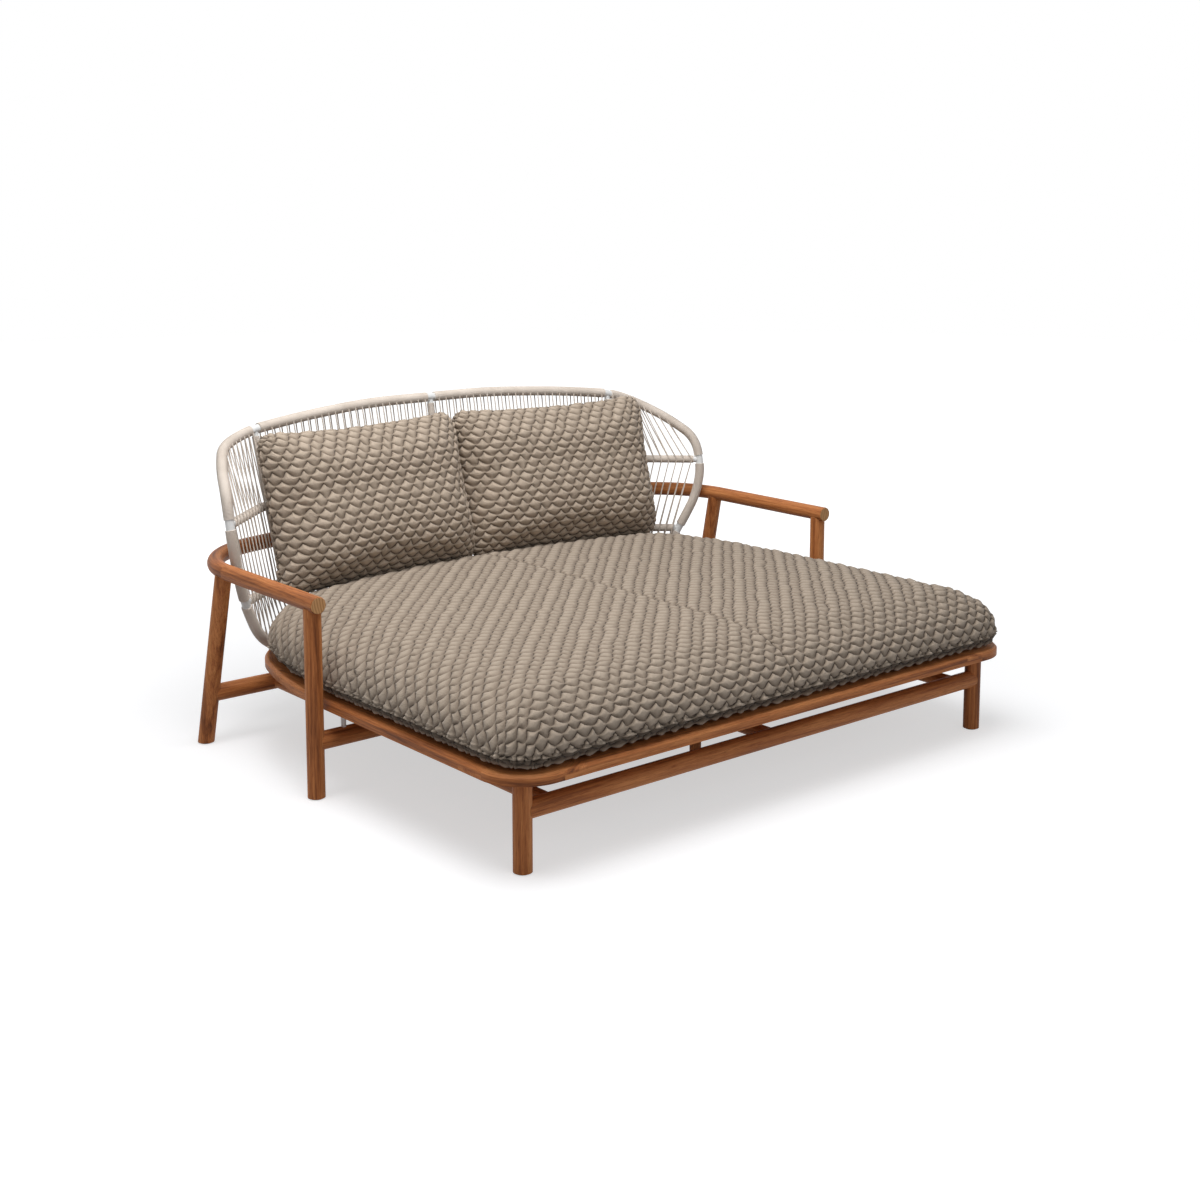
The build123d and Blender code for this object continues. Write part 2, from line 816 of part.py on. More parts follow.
def wrap(path, tube_r, wrap_r, bare_shares, cutters=()):
    """The cord wound round a tube, as a sleeve that stops at each bare place."""
    sleeve = tube_along(path, wrap_r, tube_r + wrap_gap)
    for share in bare_shares:
        sleeve = sleeve - bare_sleeve(path, share, wrap_r + overrun)
    for cutter in cutters:
        sleeve = sleeve - cutter
    return [solid for solid in sleeve.solids() if solid.bounding_box().diagonal > stub_reach]


def foot_plate(x, y):
    """A flat plate welded on the hoop's bottom and screwed under the ring."""
    half = foot_plate_width / 2
    return block(
        (x - half, y - hoop_wrap_r - ring_back_gap - foot_plate_reach, hoop_low_z + hoop_tube_r),
        (x + half, y + hoop_tube_r, ring_z),
    )


def foot_plates():
    """The three plates, each notched round the foot of a rib, and their screws."""
    side = hoop_path @ hoop_rib_foot
    places = [(0, (hoop_path @ 1).Y), (side.X, side.Y), (-side.X, side.Y)]
    side_rib = stub(side_rib_path, 1, rib_wrap_r + joint_gap)
    ribs = [stub(centre_rib_path, 1, rib_wrap_r + joint_gap), side_rib, twin(side_rib)]
    plates, screws, bores = [], [], []
    for (x, y), rib_cutter in zip(places, ribs):
        screw_y = y - hoop_wrap_r - ring_back_gap - foot_plate_reach / 2
        plate_z = ring_z - foot_plate_thickness
        head = rod((x, screw_y, plate_z - screw_head_height), (x, screw_y, plate_z), screw_head_r)
        shank_top = plate_z + screw_length
        shank = rod((x, screw_y, plate_z), (x, screw_y, shank_top), screw_r)
        bore_top = shank_top + joint_gap
        bore = rod((x, screw_y, plate_z - overrun), (x, screw_y, bore_top), screw_r + joint_gap)
        plates.append(foot_plate(x, y) - bore - rib_cutter)
        screws.append(head + shank)
        bores.append(bore)
    return plates, screws, bores


def rib_bolt_places():
    """Where each rib crosses the teak back rail: the rib's middle and the rail's."""
    centre = centre_rib_path @ place_on(centre_rib_path, arm_z, "Z", 0, 1)
    side = side_rib_path @ place_on(side_rib_path, arm_z, "Z", 0, 1)
    rail = back_rail_path()
    behind_centre = rail @ halfway_share
    behind_side = rail @ place_on(rail, side.X, "X", halfway_share, 0)
    mirrored = Vector(-side.X, side.Y, side.Z)
    mirrored_rail = Vector(-behind_side.X, behind_side.Y, behind_side.Z)
    return [(centre, behind_centre), (side, behind_side), (mirrored, mirrored_rail)]


def rib_bolts(extra=0.0):
    """A bolt from the front of each rib through the back rail, or its bore."""
    bolts = []
    for front, behind in rib_bolt_places():
        start = (front.X, front.Y - rib_wrap_r, front.Z)
        end = (front.X, behind.Y + arm_r, front.Z)
        front_head = (front.X, start[1] - bolt_head_height, front.Z)
        rear_head = (front.X, end[1] + bolt_head_height, front.Z)
        bolt = rod(start, end, bolt_r + extra)
        bolt = bolt + rod(front_head, start, bolt_head_r + extra)
        bolts.append(bolt + rod(end, rear_head, bolt_head_r + extra))
    return bolts


def cord_section(place, way, run, tube_r, side):
    """A level square of one strung cord, resting on the front (side -1) or the
    back (side 1) of a wrapped tube that goes one way while the cord runs another."""
    normal = way.cross(run).normalized()
    if normal.Y * side < 0:
        normal = normal * -1
    reach = tube_r + cord_gap + (abs(normal.X) + abs(normal.Y)) * cord_width / 2
    centre = place + normal * reach
    return (Plane(origin=centre) * Rectangle(cord_width, cord_width)).wire()


def cord_levels():
    """For each cord right of the middle, the four tubes that it passes."""
    side_foot = hoop_path @ hoop_rib_foot
    for index in range(cords_inside):
        share = (index + 1) / (cords_inside + 1)
        yield (
            on_hoop(place_on(hoop_path, rib_top_x * share, "X", 0, hoop_side)),
            on_rail(middle_rail_path, rib_middle_x * share),
            on_rail(lower_rail_path, rib_lower_x * share),
            on_hoop(place_on(hoop_path, side_foot.X * share, "X", hoop_hip, 1)),
        )
    wing, hip = hoop_path @ hoop_side, hoop_path @ hoop_hip
    for index in range(cords_outside):
        share = (index + 1) / (cords_outside + 1)
        top_x = rib_top_x + (outer_cord_top_x - rib_top_x) * share
        foot_x = rib_foot_x + (outer_cord_foot_x - rib_foot_x) * share
        yield (
            on_hoop(place_on(hoop_path, top_x, "X", 0, hoop_side)),
            on_rail(middle_rail_path, rib_middle_x + (wing.X - rib_middle_x) * share),
            on_rail(lower_rail_path, rib_lower_x + (hip.X - rib_lower_x) * share),
            on_hoop(place_on(hoop_path, foot_x, "X", hoop_hip, 1)),
        )


def strung_cords(side):
    """Every strung cord of one layer, front or back."""
    radii = (hoop_wrap_r, rail_wrap_r, rail_wrap_r, hoop_wrap_r)
    cords = []
    for levels in cord_levels():
        places = [place for place, _ in levels]
        befores, afters = places[:1] + places, places[1:] + places[-1:]
        runs = [after - before for before, after in zip(befores, afters)]
        wires = [
            cord_section(place, way, run, radius, side)
            for (place, way), run, radius in zip(levels, runs, radii)
        ]
        cords.append(Solid.make_loft(wires, True))
    return cords + [twin(cord) for cord in cords]


def mattress():
    """A thick pad: tucked under its seam, round at the shoulder, crowned on top."""
    low = ring_top + soft_gap
    seam = low + mattress_seam_height
    shoulder = low + mattress_height - mattress_shoulder_drop
    rise = shoulder - seam
    levels = [(mattress_tuck, low), (mattress_tuck_round, seam - mattress_tuck), (0, seam)]
    for inset_share, rise_share in shoulder_shares:
        levels.append((mattress_shoulder * inset_share, seam + rise * rise_share))
    levels.append((mattress_crown_inset, low + mattress_height))
    groove = block(
        (-seam_width / 2, -2 * mattress_front, seam), (seam_width / 2, 2 * mattress_front, arm_z)
    )
    core = [(inset + seam_depth, height - seam_depth) for inset, height in levels]
    return pad_through(levels) - (groove - pad_through(core))


def pad_through(levels):
    """A pad of the seat's plan, through an inset and a height for each level."""
    wires = [
        seat_outline(mattress_grow - inset, height, mattress_front - mattress_grow, mattress_corner_r)
        for inset, height in levels
    ]
    return Solid.make_loft(wires, True)


def cushion_outline(inset, depth):
    """The cushion's outline at a depth from its seam: corners stand out, sides
    are drawn in between them."""
    half_w = cushion_width / 2 - inset
    half_h = cushion_height / 2 - inset
    draw = cushion_draw_in
    radius = min(cushion_corner_r + inset / 2, cushion_corner_share * half_h)
    round_in = radius * quarter_share
    low_right = (half_w - radius, -half_h), (half_w, radius - half_h)
    top_right = (half_w, half_h - radius), (half_w - radius, half_h)
    top_left = (radius - half_w, half_h), (-half_w, half_h - radius)
    low_left = (-half_w, radius - half_h), (radius - half_w, -half_h)
    edges = [
        ThreePointArc(low_left[1], (0, draw - half_h), low_right[0]),
        ThreePointArc(low_right[0], (half_w - round_in, round_in - half_h), low_right[1]),
        ThreePointArc(low_right[1], (half_w - draw, 0), top_right[0]),
        ThreePointArc(top_right[0], (half_w - round_in, half_h - round_in), top_right[1]),
        ThreePointArc(top_right[1], (0, half_h - draw), top_left[0]),
        ThreePointArc(top_left[0], (round_in - half_w, half_h - round_in), top_left[1]),
        ThreePointArc(top_left[1], (draw - half_w, 0), low_left[0]),
        ThreePointArc(low_left[0], (round_in - half_w, round_in - half_h), low_left[1]),
    ]
    return Wire(edges).moved(Location((0, 0, depth)))


def back_cushion():
    """The right back cushion: flatter behind, crowned in front, leaning back."""
    wires = [
        cushion_outline(cushion_crown_inset * inset_share, -cushion_back_depth * depth_share)
        for inset_share, depth_share in cushion_back_shares
    ]
    wires.append(cushion_outline(0, 0))
    wires += [
        cushion_outline(cushion_crown_inset * inset_share, cushion_front_depth * depth_share)
        for inset_share, depth_share in cushion_front_shares
    ]
    pad = Solid.make_loft(wires, True)
    pad = pad.rotate(Axis.X, quarter_turn - cushion_lean).rotate(Axis.Z, -cushion_turn)
    return pad.moved(Location((cushion_middle_x, cushion_y, hoop_top_z)))


def settle(upper, lower, gap):
    """Lower a soft piece until it lies a gap above what carries it."""
    for _ in range(settling_steps):
        room = upper.distance_to(lower)
        upper = upper.moved(Location((0, 0, gap - room)))
    return upper


def write_legs():
    """Legs, feet and the rails between the legs."""
    save_pair("front_leg", front_leg())
    save_pair("arm_leg", arm_leg())
    save_pair("rear_leg", rear_leg())
    save("centre_leg", centre_leg())
    save("foot_glides", *glides())
    for name, rail in zip(("front", "middle", "rear"), cross_rails()):
        save(name + "_cross_rail", rail)
    for name, rail in zip(("front", "rear"), long_rails(side_rail_x)):
        save_pair("side_rail_" + name, rail)
    front, rear = long_rails(0)
    for bore in post_bores(on_centre=True):
        front = front - bore
    save("centre_rail_front", front - centre_leg_tenon(tenon_r, leg_tenon_length + joint_gap))
    save("centre_rail_rear", rear)


def write_seat():
    """The ring, its deck and the posts that carry it."""
    front, corner, side, rear_corner, rear = ring_pieces()
    plates, screws, bores = foot_plates()
    for bore in bores:
        rear = rear - bore
        rear_corner = rear_corner - bore
    save("ring_front", front)
    save_pair("ring_corner_front", corner)
    save_pair("ring_side", side)
    save_pair("ring_corner_rear", rear_corner)
    save("ring_rear", rear)
    save("deck_slats", *slats())
    for name, bearer in zip(("left", "centre", "right"), bearers()):
        save("deck_bearer_" + name, bearer)
    save("deck_posts", *[post(place, bar_r) for place, bar_r in post_places()])
    save("back_feet", *plates)
    save("back_foot_screws", *screws)


def write_arms():
    """The bent arms, the back rail and the dowels between them."""
    save_pair("arm", arm())
    ribs = (centre_rib_path, side_rib_path, side_rib_path.mirror(Plane.YZ))
    save("back_rail", back_rail(ribs))
    dowel = rail_dowel(rail_dowel_r, rail_dowel_length)
    save("arm_dowels", dowel, twin(dowel))


def write_back():
    """The tubes of the back, their wraps, the strung cords and the bolts."""
    hoop_solid = hoop()
    save("back_hoop", hoop_solid)
    ribs = [rib(centre_rib_path, hoop_solid), rib(side_rib_path, hoop_solid)]
    ribs.append(twin(ribs[1]))
    bores = rib_bolts(joint_gap)
    names = ("back_rib_centre", "back_rib_right", "back_rib_left")
    for name, one_rib, bore in zip(names, ribs, bores):
        save(name, one_rib - bore)
    save("back_middle_rail", rail_tube(middle_rail_path, [hoop_solid] + ribs))
    save("back_lower_rail", rail_tube(lower_rail_path, [hoop_solid] + ribs))
    save("back_bolts", *rib_bolts())
    write_wraps(hoop_solid, ribs, bores)
    save("cords_front", *strung_cords(-1))
    save("cords_back", *strung_cords(1))


def write_wraps(hoop_solid, ribs, bores):
    """The cord wound round every tube of the back."""
    plates = foot_plates()[0]
    hoop_bare = (0, hoop_rib_top, hoop_side, hoop_hip, 1, hoop_rib_foot)
    joining = [stub(path, 1, rail_tube_r + wrap_gap) for path in (middle_rail_path, lower_rail_path)]
    joining += [stub(side_rib_path, share, rib_tube_r + wrap_gap) for share in (0, 1)]
    right = wrap(hoop_path, hoop_tube_r, hoop_wrap_r, hoop_bare, plates + joining)
    save("hoop_wrap", *right, *[twin(piece) for piece in right])
    sleeves = []
    for path, bore in zip((centre_rib_path, side_rib_path), bores):
        crossings = [place_on(path, height, "Z", 0, 1) for height in (middle_rail_z, lower_rail_z)]
        ends = [bare_sleeve(path, share, rib_wrap_r + overrun, bare_end) for share in (0, 1)]
        sleeves.append(wrap(path, rib_tube_r, rib_wrap_r, crossings, [bore] + ends))
    save("rib_wraps", *sleeves[0], *sleeves[1], *[twin(piece) for piece in sleeves[1]])
    for name, path, rib_x, hoop_share in (
        ("middle_rail_wrap", middle_rail_path, rib_middle_x, hoop_side),
        ("lower_rail_wrap", lower_rail_path, rib_lower_x, hoop_hip),
    ):
        right_share = place_on(path, rib_x, "X", halfway_share, 1)
        bare = (0, 1 - right_share, halfway_share, right_share, 1)
        end = stub(hoop_path, hoop_share, hoop_wrap_r + wrap_gap)
        save(name, *wrap(path, rail_tube_r, rail_wrap_r, bare, [end, twin(end)]))


def write_soft():
    """The mattress and the two cushions that stand on it."""
    pad = mattress()
    save("mattress", pad)
    cushion = settle(back_cushion(), pad, soft_gap)
    save_pair("back_cushion", cushion)


os.makedirs("parts", exist_ok=True)
write_legs()
write_seat()
write_arms()
write_back()
write_soft()
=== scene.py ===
# %% [markdown]
# A low teak daybed: round teak legs and rails, a flat teak seat ring, bent teak
# arms, a corded aluminium back, a thick quilted mattress and two loose cushions.
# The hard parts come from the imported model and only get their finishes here.
# The windings, the strung cords and the soft pieces are modelled below.

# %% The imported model
import bmesh
import bpy
import math
import numpy as np
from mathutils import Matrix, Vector


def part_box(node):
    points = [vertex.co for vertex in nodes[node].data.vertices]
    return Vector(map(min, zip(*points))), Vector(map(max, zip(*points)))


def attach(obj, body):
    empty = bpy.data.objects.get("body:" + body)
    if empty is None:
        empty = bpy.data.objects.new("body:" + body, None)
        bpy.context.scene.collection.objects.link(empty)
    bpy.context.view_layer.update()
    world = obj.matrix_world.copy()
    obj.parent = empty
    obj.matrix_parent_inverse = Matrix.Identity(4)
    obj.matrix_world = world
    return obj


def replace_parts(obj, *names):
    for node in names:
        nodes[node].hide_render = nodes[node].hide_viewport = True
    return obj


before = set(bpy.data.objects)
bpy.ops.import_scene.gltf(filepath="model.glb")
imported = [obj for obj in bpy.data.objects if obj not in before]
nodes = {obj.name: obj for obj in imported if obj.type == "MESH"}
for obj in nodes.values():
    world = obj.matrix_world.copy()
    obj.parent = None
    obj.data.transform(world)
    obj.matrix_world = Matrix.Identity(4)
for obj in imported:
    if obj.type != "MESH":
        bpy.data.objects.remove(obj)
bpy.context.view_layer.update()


def placed(name, data):
    """A new object in the scene."""
    thing = bpy.data.objects.new(name, data)
    bpy.context.scene.collection.objects.link(thing)
    return thing


# %% [markdown]
# The camera stands in front of the left corner, a little above the seat, with a
# normal lens. The picture plane stays nearly upright, and a small lens shift
# lowers the view, so the legs stay parallel as they do in the photograph.

# %% Camera
camera_place = (-3.184, -3.850, 1.623)
camera_azimuth = math.radians(-39.913)
camera_rise = math.radians(8.28)
camera_lens = 50.96
sensor_width = 36.0
camera_shift = -0.14

camera_data = bpy.data.cameras.new("photo_camera")
camera_data.lens = camera_lens
camera_data.sensor_width = sensor_width
camera_data.shift_y = camera_shift
camera = placed("photo_camera", camera_data)
camera.location = camera_place
camera.rotation_euler = (math.pi / 2 - camera_rise, 0.0, camera_azimuth)
bpy.context.scene.camera = camera
bpy.context.scene.view_settings.view_transform = "Standard"
print("camera at", tuple(round(v, 3) for v in camera.location))

# %% [markdown]
# The room, every finish and every modelling tree are built from nodes. A value
# on its way through a tree can be added, multiplied and so on with Python's own
# signs. Small helpers add a node and set or link its inputs, so each finish
# below reads as a short list of steps.

# %% Node helpers
class Flow:
    """A value on its way through a node tree."""

    def __init__(self, socket):
        self.socket = socket

    def math(self, operation, *others):
        """The result of a Math node that has this value as its first input."""
        inputs = dict(enumerate((self, *others)))
        return flow(add(self.socket.id_data, "ShaderNodeMath", inputs, operation=operation))

    def __add__(self, other):
        return self.math("ADD", other)

    def __sub__(self, other):
        return self.math("SUBTRACT", other)

    def __rsub__(self, other):
        return self.math("MULTIPLY_ADD", -1.0, other)

    def __mul__(self, other):
        return self.math("MULTIPLY", other)

    def __truediv__(self, other):
        return self.math("DIVIDE", other)

    def __pow__(self, other):
        return self.math("POWER", other)

    def __abs__(self):
        return self.math("ABSOLUTE")


def flow(node, output=0):
    """What comes out of a node."""
    return Flow(node.outputs[output])


def feed(node, values):
    """Set a node's inputs, or link values to them, by name or number."""
    for key, value in values.items():
        if isinstance(value, Flow):
            node.id_data.links.new(value.socket, node.inputs[key])
        else:
            node.inputs[key].default_value = value


def add(tree, kind, values=None, **settings):
    """A node of a kind, with its settings and inputs."""
    node = tree.nodes.new(kind)
    for key, value in settings.items():
        setattr(node, key, value)
    feed(node, values or {})
    return node


def parts_of(tree, vector):
    """The three parts of a vector or colour."""
    return [Flow(part) for part in add(tree, "ShaderNodeSeparateXYZ", {0: vector}).outputs]


def object_place(tree):
    """The place of a point in its object."""
    return flow(add(tree, "ShaderNodeTexCoord"), "Object")


def moved_place(tree, **move):
    """The place of a point in its object, through a Mapping node."""
    values = {"Vector": object_place(tree)} | {key.title(): value for key, value in move.items()}
    return flow(add(tree, "ShaderNodeMapping", values))


def noise(tree, place, scale, detail, roughness=0.5, distortion=0.0, output="Fac"):
    """A noise texture's value at a place."""
    return flow(add(tree, "ShaderNodeTexNoise", {
        "Vector": place, "Scale": scale, "Detail": detail, "Roughness": roughness,
        "Distortion": distortion,
    }), output)


def ramp(tree, factor, stops):
    """A colour ramp through (place, colour) stops."""
    node = add(tree, "ShaderNodeValToRGB", {"Fac": factor})
    while len(node.color_ramp.elements) < len(stops):
        node.color_ramp.elements.new(0.5)
    for element, (place, colour) in zip(node.color_ramp.elements, stops):
        element.position = place
        element.color = (*colour, 1.0)
    return flow(node, "Color")


def mixed(tree, share, first, second, way="MIX"):
    """Two colours mixed by a share."""
    return flow(add(tree, "ShaderNodeMix", {0: share, 6: first, 7: second},
                    data_type="RGBA", blend_type=way), 2)


def either(tree, share, first, second):
    """The first of two numbers where the share is 0, and the second where it is 1."""
    return flow(add(tree, "ShaderNodeMix", {0: share, 2: first, 3: second}))


def bumps(tree, height, strength, distance, **below):
    """A surface's normal, tilted by a height."""
    values = {"Height": height, "Strength": strength, "Distance": distance, **below}
    return flow(add(tree, "ShaderNodeBump", values))


def new_finish(name):
    """A material with one Principled shader, its node tree and the shader."""
    finish = bpy.data.materials.new(name)
    finish.use_nodes = True
    return finish, finish.node_tree, finish.node_tree.nodes["Principled BSDF"]


print("helpers for nodes")

# %% [markdown]
# A studio for furniture is one large soft light above, a weaker one from the
# left and one from the front, and a bright room all round.

# %% Lights and room
light_aim = Vector((0, 0, 0.35))
# Each light's place and sides in metres, and its power in watts
soft_lights = {
    "light_above": ((-0.8, -0.45, 3.6), (2.7, 2.7), 121),
    "light_left": ((-4.4, -0.9, 2.1), (2.2, 2.2), 4),
    "light_front": ((-0.4, -4.6, 2.6), (3.0, 1.8), 13),
}
for name, (place, sides, power) in soft_lights.items():
    light_data = bpy.data.lights.new(name, "AREA")
    light_data.shape = "RECTANGLE"
    light_data.size, light_data.size_y = sides
    light_data.energy = power
    light = placed(name, light_data)
    light.location = place
    light.rotation_euler = (light_aim - Vector(place)).to_track_quat("-Z", "Y").to_euler()


def seen_plainly(tree):
    """1 for what the camera sees, also in gloss and through glass, and 0 elsewhere."""
    path = add(tree, "ShaderNodeLightPath")
    seen = flow(path, "Is Camera Ray").math("MAXIMUM", flow(path, "Is Glossy Ray"))
    return seen.math("MAXIMUM", flow(path, "Is Transmission Ray"))


room_light = {"Color": (0.94, 0.97, 1.0, 1.0), "Strength": 0.28}
seen_white = {"Color": (1.0, 1.0, 1.0, 1.0), "Strength": 1.0}
world = bpy.data.worlds.new("studio_room")
bpy.context.scene.world = world
world.use_nodes = True
room = world.node_tree
room.nodes.clear()
sky = add(room, "ShaderNodeMixShader", {
    0: seen_plainly(room),
    1: flow(add(room, "ShaderNodeBackground", room_light)),
    2: flow(add(room, "ShaderNodeBackground", seen_white)),
})
add(room, "ShaderNodeOutputWorld", {"Surface": flow(sky)})
print("studio:", len(soft_lights), "soft lights and a white room")

# %% [markdown]
# The floor is pale and keeps the soft shadow. It glows where the camera sees it,
# a little under the daybed and fully white further out, so it ends in the white
# of the room with no edge.

# %% Floor
floor_radius = 14.0
floor_colour = (0.52, 0.52, 0.53, 1.0)
floor_glow = {"From Min": 1.25, "From Max": 3.2, "To Min": 0.57, "To Max": 1.0}

bpy.ops.mesh.primitive_circle_add(
    vertices=96, radius=floor_radius, fill_type="NGON", location=(0, 0, 0))
floor = bpy.context.object
floor.name = "studio_floor"
floor_finish, floor_tree, _ = new_finish("studio_floor")
floor_tree.nodes.clear()
reach = add(floor_tree, "ShaderNodeVectorMath", {0: object_place(floor_tree)}, operation="LENGTH")
lift = add(floor_tree, "ShaderNodeMapRange", {"Value": flow(reach, "Value"), **floor_glow},
           interpolation_type="SMOOTHSTEP")
glow = add(floor_tree, "ShaderNodeEmission", {
    "Color": (1.0, 1.0, 1.0, 1.0), "Strength": seen_plainly(floor_tree) * flow(lift),
})
pale = add(floor_tree, "ShaderNodeBsdfDiffuse", {"Color": floor_colour})
both = add(floor_tree, "ShaderNodeAddShader", {0: flow(pale), 1: flow(glow)})
add(floor_tree, "ShaderNodeOutputMaterial", {"Surface": flow(both)})
floor.data.materials.append(floor_finish)
print("a pale floor,", 2 * floor_radius, "m across")

# %% [markdown]
# Oiled teak is orange-brown with fine dark streaks along the grain. The streaks
# are noise that is stretched along the bar, so each finish needs to know which
# way its bar runs: across the daybed, front to back, upright, or round a bend.
# Where a bar is cut across, the end grain shows as pale slanting rings.

# %% Teak
teak_dark = (0.145, 0.043, 0.014)
teak_mid = (0.43, 0.147, 0.046)
teak_light = (0.62, 0.247, 0.086)
pore_shadow = (0.55, 0.5, 0.46)
ring_dark = (0.40, 0.20, 0.085)
ring_light = (0.56, 0.31, 0.135)
white = (1.0, 1.0, 1.0)
grain_pitch = 0.011
grain_stretch = 26.0
cut_end_slant = math.radians(24)


def grain_place(tree, along, across, up):
    """The point that the grain is read at: squeezed along the bar."""
    parts = {0: along / grain_stretch, 1: across, 2: up}
    return flow(add(tree, "ShaderNodeCombineXYZ", parts))


def end_grain(tree):
    """Pale slanting growth rings on a cut end."""
    turned = moved_place(tree, rotation=(0.0, cut_end_slant, 0.0), scale=(1.0, 0.25, 0.4))
    rings = add(tree, "ShaderNodeTexWave", {
        "Vector": turned, "Scale": 42.0, "Distortion": 3.0, "Detail": 2.0, "Detail Scale": 1.2,
    }, wave_type="BANDS", bands_direction="X")
    return ramp(tree, flow(rings, "Fac"), [(0.1, ring_dark), (0.8, ring_light)])


def teak_surface(tree, shader, place, end_share=None):
    """Colour, gloss and pores of teak from the place along its grain."""
    broad = noise(tree, place, scale=0.35 / grain_pitch, detail=2.0, distortion=0.4)
    fine = noise(tree, place, scale=1.6 / grain_pitch, detail=4.0, roughness=0.6)
    pores = noise(tree, place, scale=6.5 / grain_pitch, detail=2.0, roughness=0.7)
    colour = ramp(tree, broad * 0.55 + fine * 0.45, [
        (0.34, teak_dark), (0.47, teak_mid), (0.62, teak_light),
    ])
    pore = ramp(tree, pores, [(0.36, pore_shadow), (0.48, white)])
    colour = mixed(tree, 0.75, colour, pore, "MULTIPLY")
    if end_share is not None:
        colour = mixed(tree, end_share, colour, end_grain(tree))
    feed(shader, {
        "Base Color": colour,
        "Roughness": fine * 0.18 + 0.42,
        "Normal": bumps(tree, pores, strength=0.22, distance=0.0006),
        "Specular IOR Level": 0.16,
    })


def cut_across(tree, axis):
    """1 where the surface faces along an axis, as a cut end does."""
    normal = flow(add(tree, "ShaderNodeTexCoord"), "Normal")
    size = abs(parts_of(tree, normal)[axis])
    return flow(add(tree, "ShaderNodeMapRange", {
        "Value": size, "From Min": 0.86, "From Max": 0.95,
    }))


def straight_teak(name, axis, shift):
    """Teak for bars that run along one axis: 0 across, 1 front to back, 2 upright."""
    finish, tree, shader = new_finish(name)
    parts = parts_of(tree, moved_place(tree, location=shift))
    turned = [parts[(axis + step) % 3] for step in range(3)]
    teak_surface(tree, shader, grain_place(tree, *turned), cut_across(tree, axis))
    return finish


def round_teak(name, centre, radius, straight_front=False):
    """Teak that runs round a centre in plan, as a steamed bar's grain does. An arm
    runs straight in front of its bend, up to a cut end."""
    finish, tree, shader = new_finish(name)
    x, y, z = parts_of(tree, moved_place(tree, location=(-centre[0], -centre[1], 0.0)))
    along = y.math("ARCTAN2", x) * radius
    reach = (x * x + y * y).math("SQRT")
    end_share = None
    if straight_front:
        bent = y.math("GREATER_THAN", 0.0)
        along = either(tree, bent, y, along)
        reach = either(tree, bent, abs(x), reach)
        end_share = cut_across(tree, 1) * (1.0 - bent)
    teak_surface(tree, shader, grain_place(tree, along, reach, z), end_share)
    return finish


teak_across = straight_teak("teak_across", 0, (0.31, 0.17, 0.05))
teak_lengthwise = straight_teak("teak_lengthwise", 1, (0.12, 0.43, 0.21))
teak_upright = straight_teak("teak_upright", 2, (0.57, 0.29, 0.11))
print("teak: three straight finishes")

# %% [markdown]
# The bent pieces follow circles in plan. The arms run straight from their front
# end and then round a corner, the back rail and the ring's corners follow bows.
# Each gets a teak whose grain turns with it.

# %% Teak on every wooden piece
arm_half, arm_bend, arm_bend_y = 0.970, 0.315, 0.4426
# The middle of each ring corner's arc in plan, right of the middle, and its radius
ring_corners = {"front": (0.811, -0.729, 0.127), "rear": (0.5575, 0.3105, 0.330)}
back_rail_centre, back_rail_radius = (0.0, -2.12), 2.96


def dress(finish, *names):
    """Give CAD nodes one finish."""
    for name in names:
        node = nodes[name]
        node.data.materials.clear()
        node.data.materials.append(finish)


def both_sides(*stems):
    """The names of pieces that come in a left and a right one."""
    return [stem + side for stem in stems for side in ("_left", "_right")]


for side, sign in (("_left", -1), ("_right", 1)):
    arm_centre = (sign * (arm_half - arm_bend), arm_bend_y)
    dress(round_teak("teak_arm" + side, arm_centre, arm_bend, straight_front=True), "arm" + side)
    for end, (x, y, radius) in ring_corners.items():
        piece = end + side
        dress(round_teak("teak_ring_" + piece, (sign * x, y), radius), "ring_corner_" + piece)
dress(round_teak("teak_back_rail", back_rail_centre, back_rail_radius), "back_rail")
dress(teak_across, "ring_front", "ring_rear", "front_cross_rail", "middle_cross_rail",
      "rear_cross_rail", "deck_slats", "arm_dowels")
dress(teak_lengthwise, "centre_rail_front", "centre_rail_rear", "deck_bearer_centre",
      *both_sides("side_rail_front", "side_rail_rear", "ring_side", "deck_bearer"))
dress(teak_upright, "centre_leg", *both_sides("front_leg", "arm_leg", "rear_leg"))
print("teak on the wooden pieces")

# %% [markdown]
# The back's tubes are powder-coated white aluminium: nearly plain, slightly
# grainy, with a soft gloss. Bolts are stainless steel, the glides hard plastic.

# %% Metal and plastic
def coated_metal():
    finish, tree, shader = new_finish("white_coated_aluminium")
    speckle = noise(tree, object_place(tree), scale=900.0, detail=2.0)
    feed(shader, {
        "Base Color": ramp(tree, speckle, [(0.3, (0.74, 0.74, 0.73)), (0.7, (0.82, 0.82, 0.81))]),
        "Roughness": 0.42,
        "Normal": bumps(tree, speckle, strength=0.15, distance=0.0003),
    })
    return finish


def bare_steel():
    finish, tree, shader = new_finish("stainless_steel")
    marks = noise(tree, object_place(tree), scale=600.0, detail=3.0)
    feed(shader, {"Base Color": (0.55, 0.55, 0.54, 1.0), "Metallic": 1.0,
                  "Roughness": marks * 0.2 + 0.25})
    return finish


def hard_plastic():
    finish, tree, shader = new_finish("glide_plastic")
    wear = noise(tree, object_place(tree), scale=300.0, detail=3.0)
    tint = ramp(tree, wear, [(0.4, (0.02, 0.02, 0.02)), (0.7, (0.05, 0.05, 0.05))])
    feed(shader, {"Base Color": tint, "Roughness": 0.6})
    return finish


dress(coated_metal(), "back_hoop", "back_rib_left", "back_rib_centre", "back_rib_right",
      "back_middle_rail", "back_lower_rail", "back_feet", "deck_posts")
dress(bare_steel(), "back_bolts", "back_foot_screws")
dress(hard_plastic(), "foot_glides")
print("metal and plastic")

